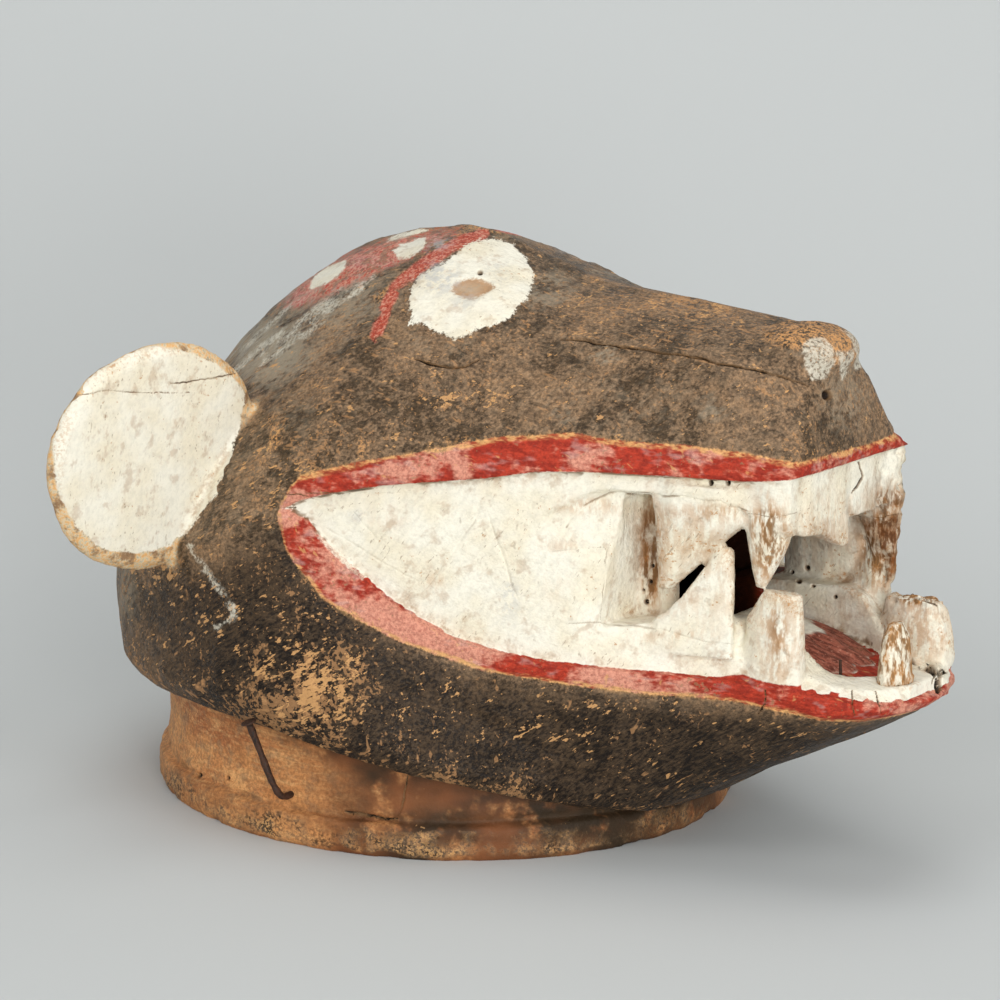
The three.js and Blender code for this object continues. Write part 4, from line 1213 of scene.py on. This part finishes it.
    # Painted shade: the wood inside the hollow and the throat multiplied by a dark brown
    inside = net.value("inside")
    colour = net.mix(net.span(inside, 0.1, 0.9), colour, net.mix(1.0, wood["Colour"], colours.shade, "MULTIPLY"))
    tongue = net.value("tongue")
    furrow = net.span(net.noise(net.stretched(place, (0.14, 1, 1)), 2.0, 3.0, 0.65), 0.36, 0.64)
    tongue_colour = net.mix(furrow, colours.tongue_dark, colours.tongue)
    tongue_colour = net.mix(net.math("MULTIPLY", net.span(fine, 0.55, 0.68), 0.5), tongue_colour, colours.pink)
    colour = net.mix(net.span(tongue, 0.3, 0.8), colour, tongue_colour)
    # Cracks and holes darken to dirt and then black, and so does the painted shadow line along the lips
    crack_and_lip_shadow = net.value("crack_and_lip_shadow")
    colour = net.mix(net.span(crack_and_lip_shadow, 0.03, 0.5, 0.0, 0.75), colour, colours.dirt)
    colour = net.mix(net.span(crack_and_lip_shadow, 0.45, 0.95, 0.0, 0.95), colour, colours.black)

    chalky = net.math("MAXIMUM", net.span(inside_eye, -0.4, 0.4), net.span(net.value("mouth"), -0.4, 0.4))
    chalky = net.math("MAXIMUM", chalky, net.span(net.value("ear_face"), -0.4, 0.4))
    height = net.blend(chalky, height, white["Height"])
    woody = net.math("MAXIMUM", net.span(net.value("bare"), -0.4, 0.4), net.span(side, 0.35, 0.8))
    height = net.blend(woody, height, wood["Height"])
    gloss = net.blend(chalk, gloss, 0.82)
    gloss = net.blend(net.math("MAXIMUM", bare, red_cover), gloss, 0.62)
    net.feed(shader.inputs["Base Color"], colour)
    net.feed(shader.inputs["Roughness"], gloss)
    shader.inputs["Specular IOR Level"].default_value = 0.22
    raise_surface(net, shader, height, 0.9)
    return material


def tooth_material(colours):
    """The set-in tooth's own chalk and stains."""
    grain, flakes = grain_group(), flakes_group()
    white_paint = white_paint_group(colours, grain, flakes)
    material, net, shader, place = new_material("Set-in tooth wood")
    upright = net.stretched(place, (1.0, 1.0, 0.25))
    streaks = net.span(net.noise(upright, 3.0, 3.0, 0.6), 0.38, 0.62, 1.0, 2.1)
    white = net.use(white_paint, {"Place": place, "Hollowed": net.value("hollowed"), "Stain_and_shade": streaks, "Rub": 0.3})
    net.feed(shader.inputs["Base Color"], white["Colour"])
    shader.inputs["Roughness"].default_value = 0.8
    shader.inputs["Specular IOR Level"].default_value = 0.22
    raise_surface(net, shader, white["Height"], 0.8)
    return material


def rust_material(colours):
    """Old iron, dark and scaled with rust."""
    material, net, shader, place = new_material("Rusted iron")
    scale = net.noise(place, 1.6, 4.0, 0.7)
    patch = net.span(net.noise(place, 5.0, 3.0, 0.6), 0.4, 0.65)
    colour = net.mix(net.span(scale, 0.35, 0.7), colours.iron, colours.rust)
    colour = net.mix(net.math("MULTIPLY", patch, 0.4), colour, colours.rust)
    net.feed(shader.inputs["Base Color"], colour)
    net.feed(shader.inputs["Roughness"], net.span(scale, 0.3, 0.7, 0.45, 0.8))
    shader.inputs["Metallic"].default_value = 0.35
    raise_surface(net, shader, scale, 0.35)
    return material


def floor_material(colours):
    """Plain pale studio paper, clear from behind so that the back can be seen."""
    material, net, shader, _ = new_material("Studio paper")
    net.feed(shader.inputs["Base Color"], colours.floor)
    shader.inputs["Roughness"].default_value = 0.9
    behind = net.add("NewGeometry").outputs["Backfacing"]
    net.feed(shader.inputs["Alpha"], net.math("SUBTRACT", 1.0, behind))
    return material


# Nails, tooth and stage


def smooth_path(points, steps):
    """Catmull-Rom path through the points."""
    points = [Vector(p) for p in points]
    path = []
    for i in range(len(points) - 1):
        a, b, c, d = (points[min(max(k, 0), len(points) - 1)] for k in range(i - 1, i + 3))
        for step in range(steps):
            t = step / steps
            path.append(0.5 * (2 * b + (c - a) * t + (2 * a - 5 * b + 4 * c - d) * t**2 + (3 * b - 3 * c + d - a) * t**3))
    return path + [points[-1]]


def sweep(work, path, radii, segments):
    """Closed round bar along a path in millimetres, as thick at each point as its radius says."""
    places = []
    for i, point in enumerate(path):
        along = (path[min(i + 1, len(path) - 1)] - path[max(i - 1, 0)]).normalized()
        turn = Vector((0, 0, 1)).rotation_difference(along).to_matrix().to_4x4()
        place = (point + Vector(COLLAR_CENTRE)) * MM
        places.append(Matrix.Translation(place) @ turn @ Matrix.Scale(radii[i] * MM, 4))
    made = bmesh.ops.create_circle(work, cap_ends=True, segments=segments, radius=1.0, matrix=places[0])
    ring = made["verts"]
    for before, after in zip(places[:-1], places[1:]):
        faces = [f for f in work.faces if all(v in ring for v in f.verts) and len(f.verts) == segments]
        grown = bmesh.ops.extrude_face_region(work, geom=faces[:1])
        bmesh.ops.delete(work, geom=faces[:1], context="FACES_ONLY") if before is not places[0] else None
        ring = [v for v in grown["geom"] if isinstance(v, bmesh.types.BMVert)]
        bmesh.ops.transform(work, matrix=after @ before.inverted(), space=Matrix.Identity(4), verts=ring)
    bmesh.ops.recalc_face_normals(work, faces=work.faces)


def finished_object(work, name, material, node):
    """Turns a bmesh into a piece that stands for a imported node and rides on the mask."""
    mesh = bpy.data.meshes.new(name)
    work.to_mesh(mesh)
    work.free()
    obj = bpy.data.objects.new(name, mesh)
    bpy.context.scene.collection.objects.link(obj)
    return dressed(obj, material, node)


def dressed(obj, material, node):
    obj.data.materials.clear()
    obj.data.materials.append(material)
    obj.data.shade_smooth()
    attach(obj, "root")
    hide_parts(node)
    return obj


def fresh(name):
    """Removes a piece that an earlier run of the same operator made."""
    old = bpy.data.objects.get(name)
    if old:
        bpy.data.objects.remove(old)


class HyenaCarving(bpy.types.PropertyGroup):
    voxel: bpy.props.FloatProperty(
        name="Mesh step", description="Size of the even mesh that is carved", default=0.0015, min=0.001,
        max=0.006, precision=4, unit="LENGTH",
    )
    triangles: bpy.props.IntProperty(
        name="Triangles", description="Triangles kept on the head before its cracks are cut",
        default=90000, min=20000, max=150000,
    )
    smoothing: bpy.props.IntProperty(
        name="Smoothing", description="Rounds that take the solid's flat facets away", default=45, min=0, max=120
    )
    facet_size: bpy.props.FloatProperty(
        name="Tool mark", description="Width of the adze marks on the skull", default=0.013, min=0.004,
        max=0.04, precision=4, unit="LENGTH",
    )
    facet_depth: bpy.props.FloatProperty(
        name="Tool depth", description="How deep the tool marks may cut", default=0.0006, min=0.0,
        max=0.002, precision=4, unit="LENGTH",
    )
    crack_depth: bpy.props.FloatProperty(
        name="Crack depth", description="Scales the depth of every crack", default=1.0, min=0.0, max=2.0,
        subtype="FACTOR",
    )


def colour_property(name, description, shade):
    return bpy.props.FloatVectorProperty(
        name=name, description=description, default=paint(*shade), size=3, min=0.0, max=1.0, subtype="COLOR"
    )


class HyenaColours(bpy.types.PropertyGroup):
    dark: colour_property("Dark coat", "Blackest part of the painted head", (72, 56, 38))
    dark_warm: colour_property("Warm dark", "Browner part of the painted head", (122, 98, 74))
    brown: colour_property("Brown", "Brown that shows in patches", (150, 118, 86))
    worn: colour_property("Worn spots", "Wood that shows through the dark coat", (196, 146, 98))
    # Grey of the dust and of the painted sheen on the dome and muzzle
    dust_and_sheen: colour_property("Dust_and_sheen", "Grey bloom on the dome and muzzle", (166, 154, 132))
    ash: colour_property("Ashen film", "Bluish grey film over the white", (184, 186, 186))
    ochre: colour_property("Ochre", "Golden wood at rubbed edges", (224, 172, 110))
    red: colour_property("Red", "Brick red of the bands", (184, 60, 38))
    red_deep: colour_property("Deep red", "Darker grain of the red", (150, 44, 28))
    pink: colour_property("Pink", "Red where it is rubbed thin", (216, 152, 128))
    white: colour_property("White", "Thick white of the mouth, eye and ear", (238, 233, 216))
    cream: colour_property("Cream", "Yellowed white", (226, 212, 180))
    # Brown of the stains, also used for the painted shade in the mouth
    stain_and_shade: colour_property("Stain_and_shade", "Brown stain on teeth", (186, 134, 80))
    dirt: colour_property("Dirt", "Grey-brown dirt in hollows of the white", (128, 98, 66))
    wood: colour_property("Bare wood", "Handled wood of the collar", (206, 144, 88))
    wood_light: colour_property("Light wood", "Light streaks of the collar", (232, 180, 120))
    wood_dark: colour_property("Dark wood", "Darker parts of the collar", (166, 102, 60))
    tongue: colour_property("Tongue", "Dull red of the tongue", (172, 100, 80))
    tongue_dark: colour_property("Dark tongue", "Grooves of the tongue", (104, 52, 40))
    # Colour of the painted shade over the wood inside the hollow
    shade: colour_property("Inside tint", "Tint over the wood in the hollow", (120, 92, 70))
    # Also the darkest tone of the painted shade low on the head and of the painted shadow line along the lips
    black: colour_property("Crack", "Inside of cracks and holes", (22, 14, 9))
    iron: colour_property("Iron", "Dark scale on the nails", (40, 30, 24))
    rust: colour_property("Rust", "Rust on the nails", (84, 54, 38))
    floor: colour_property("Studio paper", "Colour of the floor and backdrop", (203, 206, 205))


class HyenaStage(bpy.types.PropertyGroup):
    azimuth: bpy.props.FloatProperty(
        name="Azimuth", description="How far the camera stands round the mask", default=PLATE_AZIMUTH,
        subtype="ANGLE", unit="ROTATION",
    )
    elevation: bpy.props.FloatProperty(
        name="Elevation", description="Height of the camera over the horizon", default=PLATE_ELEVATION,
        subtype="ANGLE", unit="ROTATION",
    )
    distance: bpy.props.FloatProperty(
        name="Distance", description="From the camera to the mask", default=PLATE_DISTANCE * MM, min=0.3,
        max=6.0, unit="LENGTH",
    )
    lens: bpy.props.FloatProperty(
        name="Lens", description="Focal length on a 36 mm frame", default=PLATE_FOCUS * 0.036, min=20,
        max=300, unit="CAMERA",
    )
    key: bpy.props.FloatProperty(
        name="Key light", description="Power of the large soft light", default=26.0, min=0, unit="POWER"
    )
    fill: bpy.props.FloatProperty(
        name="Room light", description="Strength of the even light from all round", default=0.32, min=0
    )


class MASK_OT_stage(bpy.types.Operator):
    """Lays the pale floor and sets the soft lights and the camera"""

    bl_idname = "mask.stage"
    bl_label = "Studio"

    def execute(self, context):
        scene = context.scene
        stage, colours = scene.hyena_stage, scene.hyena_colours
        turn = Matrix.Rotation(stage.azimuth, 4, "Z")
        self.floor(scene, colours, turn)
        self.lights(scene, stage, turn)
        self.camera(scene, stage)
        scene.view_settings.view_transform = "Standard"
        scene.view_settings.look = "None"
        world = bpy.data.worlds.new("Studio air")
        world.use_nodes = True
        background = world.node_tree.nodes["Background"]
        background.inputs["Color"].default_value = (0.98, 0.99, 1.0, 1.0)
        background.inputs["Strength"].default_value = stage.fill
        scene.world = world
        return {"FINISHED"}

    def floor(self, scene, colours, turn):
        """One sheet of paper that lies flat and then curves up behind the mask."""
        fresh("studio_paper")
        work = bmesh.new()
        wide, front, flat, bend, high = 7.0, -3.5, 0.15, 0.9, 3.5
        ends = [work.verts.new((side * wide / 2, front, 0)) for side in (-1, 1)]
        edge = [work.edges.new(ends)]

        def grow(move):
            made = bmesh.ops.extrude_edge_only(work, edges=edge)["geom"]
            verts = [v for v in made if isinstance(v, bmesh.types.BMVert)]
            bmesh.ops.translate(work, vec=move, verts=verts)
            return [e for e in made if isinstance(e, bmesh.types.BMEdge) and all(v in verts for v in e.verts)]

        edge = grow((0, flat - front, 0))
        spun = bmesh.ops.spin(
            work, geom=edge, cent=(0, flat, bend), axis=(1, 0, 0), angle=math.pi / 2, steps=24, use_merge=False
        )["geom_last"]
        edge = [e for e in spun if isinstance(e, bmesh.types.BMEdge)]
        edge = grow((0, 0, high))
        bmesh.ops.recalc_face_normals(work, faces=work.faces)
        if sum(f.normal.z for f in work.faces) < 0:
            bmesh.ops.reverse_faces(work, faces=work.faces)
        bmesh.ops.transform(work, matrix=turn, space=Matrix.Identity(4), verts=work.verts)
        mesh = bpy.data.meshes.new("studio_paper")
        work.to_mesh(mesh)
        work.free()
        mesh.shade_smooth()
        mesh.materials.append(floor_material(colours))
        paper = bpy.data.objects.new("studio_paper", mesh)
        scene.collection.objects.link(paper)

    def lights(self, scene, stage, turn):
        """Soft boxes: name, place to the camera's right, to the back and up, size and share of the key's power."""
        boxes = [
            ("front", (0.2, -2.4, 0.8), 1.4, 0.88),
            ("mouth", (0.6, -2.2, 0.32), 0.6, 0.42),
            ("right_front", (0.9, -1.3, 1.4), 1.0, 0.2),
            ("left_front", (-0.9, -1.3, 1.4), 1.0, 0.18),
            ("right", (1.7, -0.6, 0.8), 1.0, 0.14),
            ("left", (-1.7, -0.6, 0.8), 1.0, 0.1),
            ("overhead", (0.0, 0.0, 1.9), 1.2, 0.32),
        ]
        middle = Vector((0, 0, 0.12))
        for name, place, size, share in boxes:
            data = bpy.data.lights.new(name, "AREA")
            data.shape = "SQUARE"
            data.size = size
            data.energy = stage.key * share
            light = bpy.data.objects.new(name, data)
            light.location = turn @ Vector(place)
            light.rotation_euler = (light.location - middle).to_track_quat("Z", "Y").to_euler()
            scene.collection.objects.link(light)

    def camera(self, scene, stage):
        level = math.cos(stage.elevation)
        back = Vector((math.sin(stage.azimuth) * level, -math.cos(stage.azimuth) * level, math.sin(stage.elevation)))
        data = bpy.data.cameras.new("camera")
        data.lens = stage.lens
        data.sensor_width = 36.0
        data.clip_end = 30.0
        camera = bpy.data.objects.new("camera", data)
        camera.location = Vector((PLATE_CENTRE + COLLAR_CENTRE) * MM) + back * stage.distance
        camera.rotation_euler = back.to_track_quat("Z", "Y").to_euler()
        scene.collection.objects.link(camera)
        scene.camera = camera


class MASK_OT_head(bpy.types.Operator):
    """Carves and paints the head with its collar, ears, mouth, tongue and grown teeth"""

    bl_idname = "mask.head"
    bl_label = "Carved head"

    def execute(self, context):
        carving, colours = context.scene.hyena_carving, context.scene.hyena_colours
        fresh("carved_head")
        head = remeshed_copy("head", "carved_head", carving.voxel)
        surface = Surface(head.data)
        carve_head(surface, solid_tree("head"), carving)
        plain = zones(surface.points, surface.normals())["hollow"]
        thin_out(head, carving.triangles, plain)
        refine(head, 0.7, carving.voxel * 0.5 / MM)
        head.data.calc_loop_triangles()
        if len(head.data.loop_triangles) >= MOST_TRIANGLES:
            raise RuntimeError(f"The head has {len(head.data.loop_triangles)} triangles, over {MOST_TRIANGLES}")
        surface = Surface(head.data)
        zone = zones(surface.points, surface.normals())
        dark = cut_marks(surface, zone, carving)
        mark_paint(surface, zone, dark)
        mark_wear(surface, zone)
        dressed(head, head_material(colours), "head")
        return {"FINISHED"}


class MASK_OT_nails(bpy.types.Operator):
    """Forges the long bent nail in the collar and the thin one in the jaw"""

    bl_idname = "mask.nails"
    bl_label = "Iron nails"

    def execute(self, context):
        material = rust_material(context.scene.hyena_colours)
        fresh("bent_nail")
        fresh("thin_nail")
        path = smooth_path(NAIL_PATH, 5)
        radii = [1.6 + 0.3 * math.sin(i * 1.7) * math.sin(i * 0.6) for i in range(len(path))]
        head = path[-1] - path[-2]
        tip = path[-1]
        path += [tip + head * share for share in (0.02, 0.10, 0.35, 0.42)]
        radii[-1] = 1.9
        radii += [3.3, 3.7, 3.6, 2.9]
        work = bmesh.new()
        sweep(work, path, radii, 12)
        finished_object(work, "bent_nail", material, "collar_nail")
        work = bmesh.new()
        place = Vector(THIN_NAIL)
        path = [place + Vector((0.12 * math.sin(z * 0.5), 0.1 * math.cos(z * 0.4), z)) for z in range(-8, 11)]
        sweep(work, path, [1.0 - 0.02 * i for i in range(len(path))], 10)
        finished_object(work, "thin_nail", material, "jaw_nail")
        return {"FINISHED"}


class MASK_OT_tooth(bpy.types.Operator):
    """Whittles the tooth that is set into the lower gum on its own"""

    bl_idname = "mask.tooth"
    bl_label = "Set-in tooth"

    def execute(self, context):
        fresh("peg_tooth")
        tooth = remeshed_copy("front_tooth", "peg_tooth", 0.0006)
        surface = Surface(tooth.data)
        whole = np.ones(surface.count)
        surface.relax(whole * 0.8, 4)
        surface.whittle(whole, 5.0, 0.85, 0.8, 41, (1, 1, 2.0))
        points = surface.points
        surface.push(unevenness(points, 5, 42) * 0.3 + unevenness(points, 1.8, 43, (1, 1, 2.5)) * 0.16)
        surface.relax(whole * 0.4, 1)
        surface.write()
        surface.store("hollowed", bends(surface, 6))
        dressed(tooth, tooth_material(context.scene.hyena_colours), "front_tooth")
        return {"FINISHED"}


class MASK_PT_panel(bpy.types.Panel):
    """Lists the steps that make the mask"""

    bl_idname = "MASK_PT_panel"
    bl_label = "Hyena helmet mask"
    bl_space_type = "VIEW_3D"
    bl_region_type = "UI"
    bl_category = "Mask"

    def draw(self, context):
        for step in (MASK_OT_stage, MASK_OT_head, MASK_OT_nails, MASK_OT_tooth):
            self.layout.operator(step.bl_idname)
        scene = context.scene
        for group in (scene.hyena_carving, scene.hyena_colours, scene.hyena_stage):
            box = self.layout.box()
            for name in group.__annotations__:
                box.prop(group, name)


CLASSES = (
    HyenaCarving, HyenaColours, HyenaStage, MASK_OT_stage, MASK_OT_head, MASK_OT_nails, MASK_OT_tooth,
    MASK_PT_panel,
)


def register():
    for kind in CLASSES:
        bpy.utils.register_class(kind)
    bpy.types.Scene.hyena_carving = bpy.props.PointerProperty(type=HyenaCarving)
    bpy.types.Scene.hyena_colours = bpy.props.PointerProperty(type=HyenaColours)
    bpy.types.Scene.hyena_stage = bpy.props.PointerProperty(type=HyenaStage)


def unregister():
    for name in ("hyena_stage", "hyena_colours", "hyena_carving"):
        delattr(bpy.types.Scene, name)
    for kind in reversed(CLASSES):
        bpy.utils.unregister_class(kind)


def main():
    register()
    bpy.ops.mask.stage()
    bpy.ops.mask.head()
    bpy.ops.mask.nails()
    bpy.ops.mask.tooth()


if __name__ == "__main__":
    main()
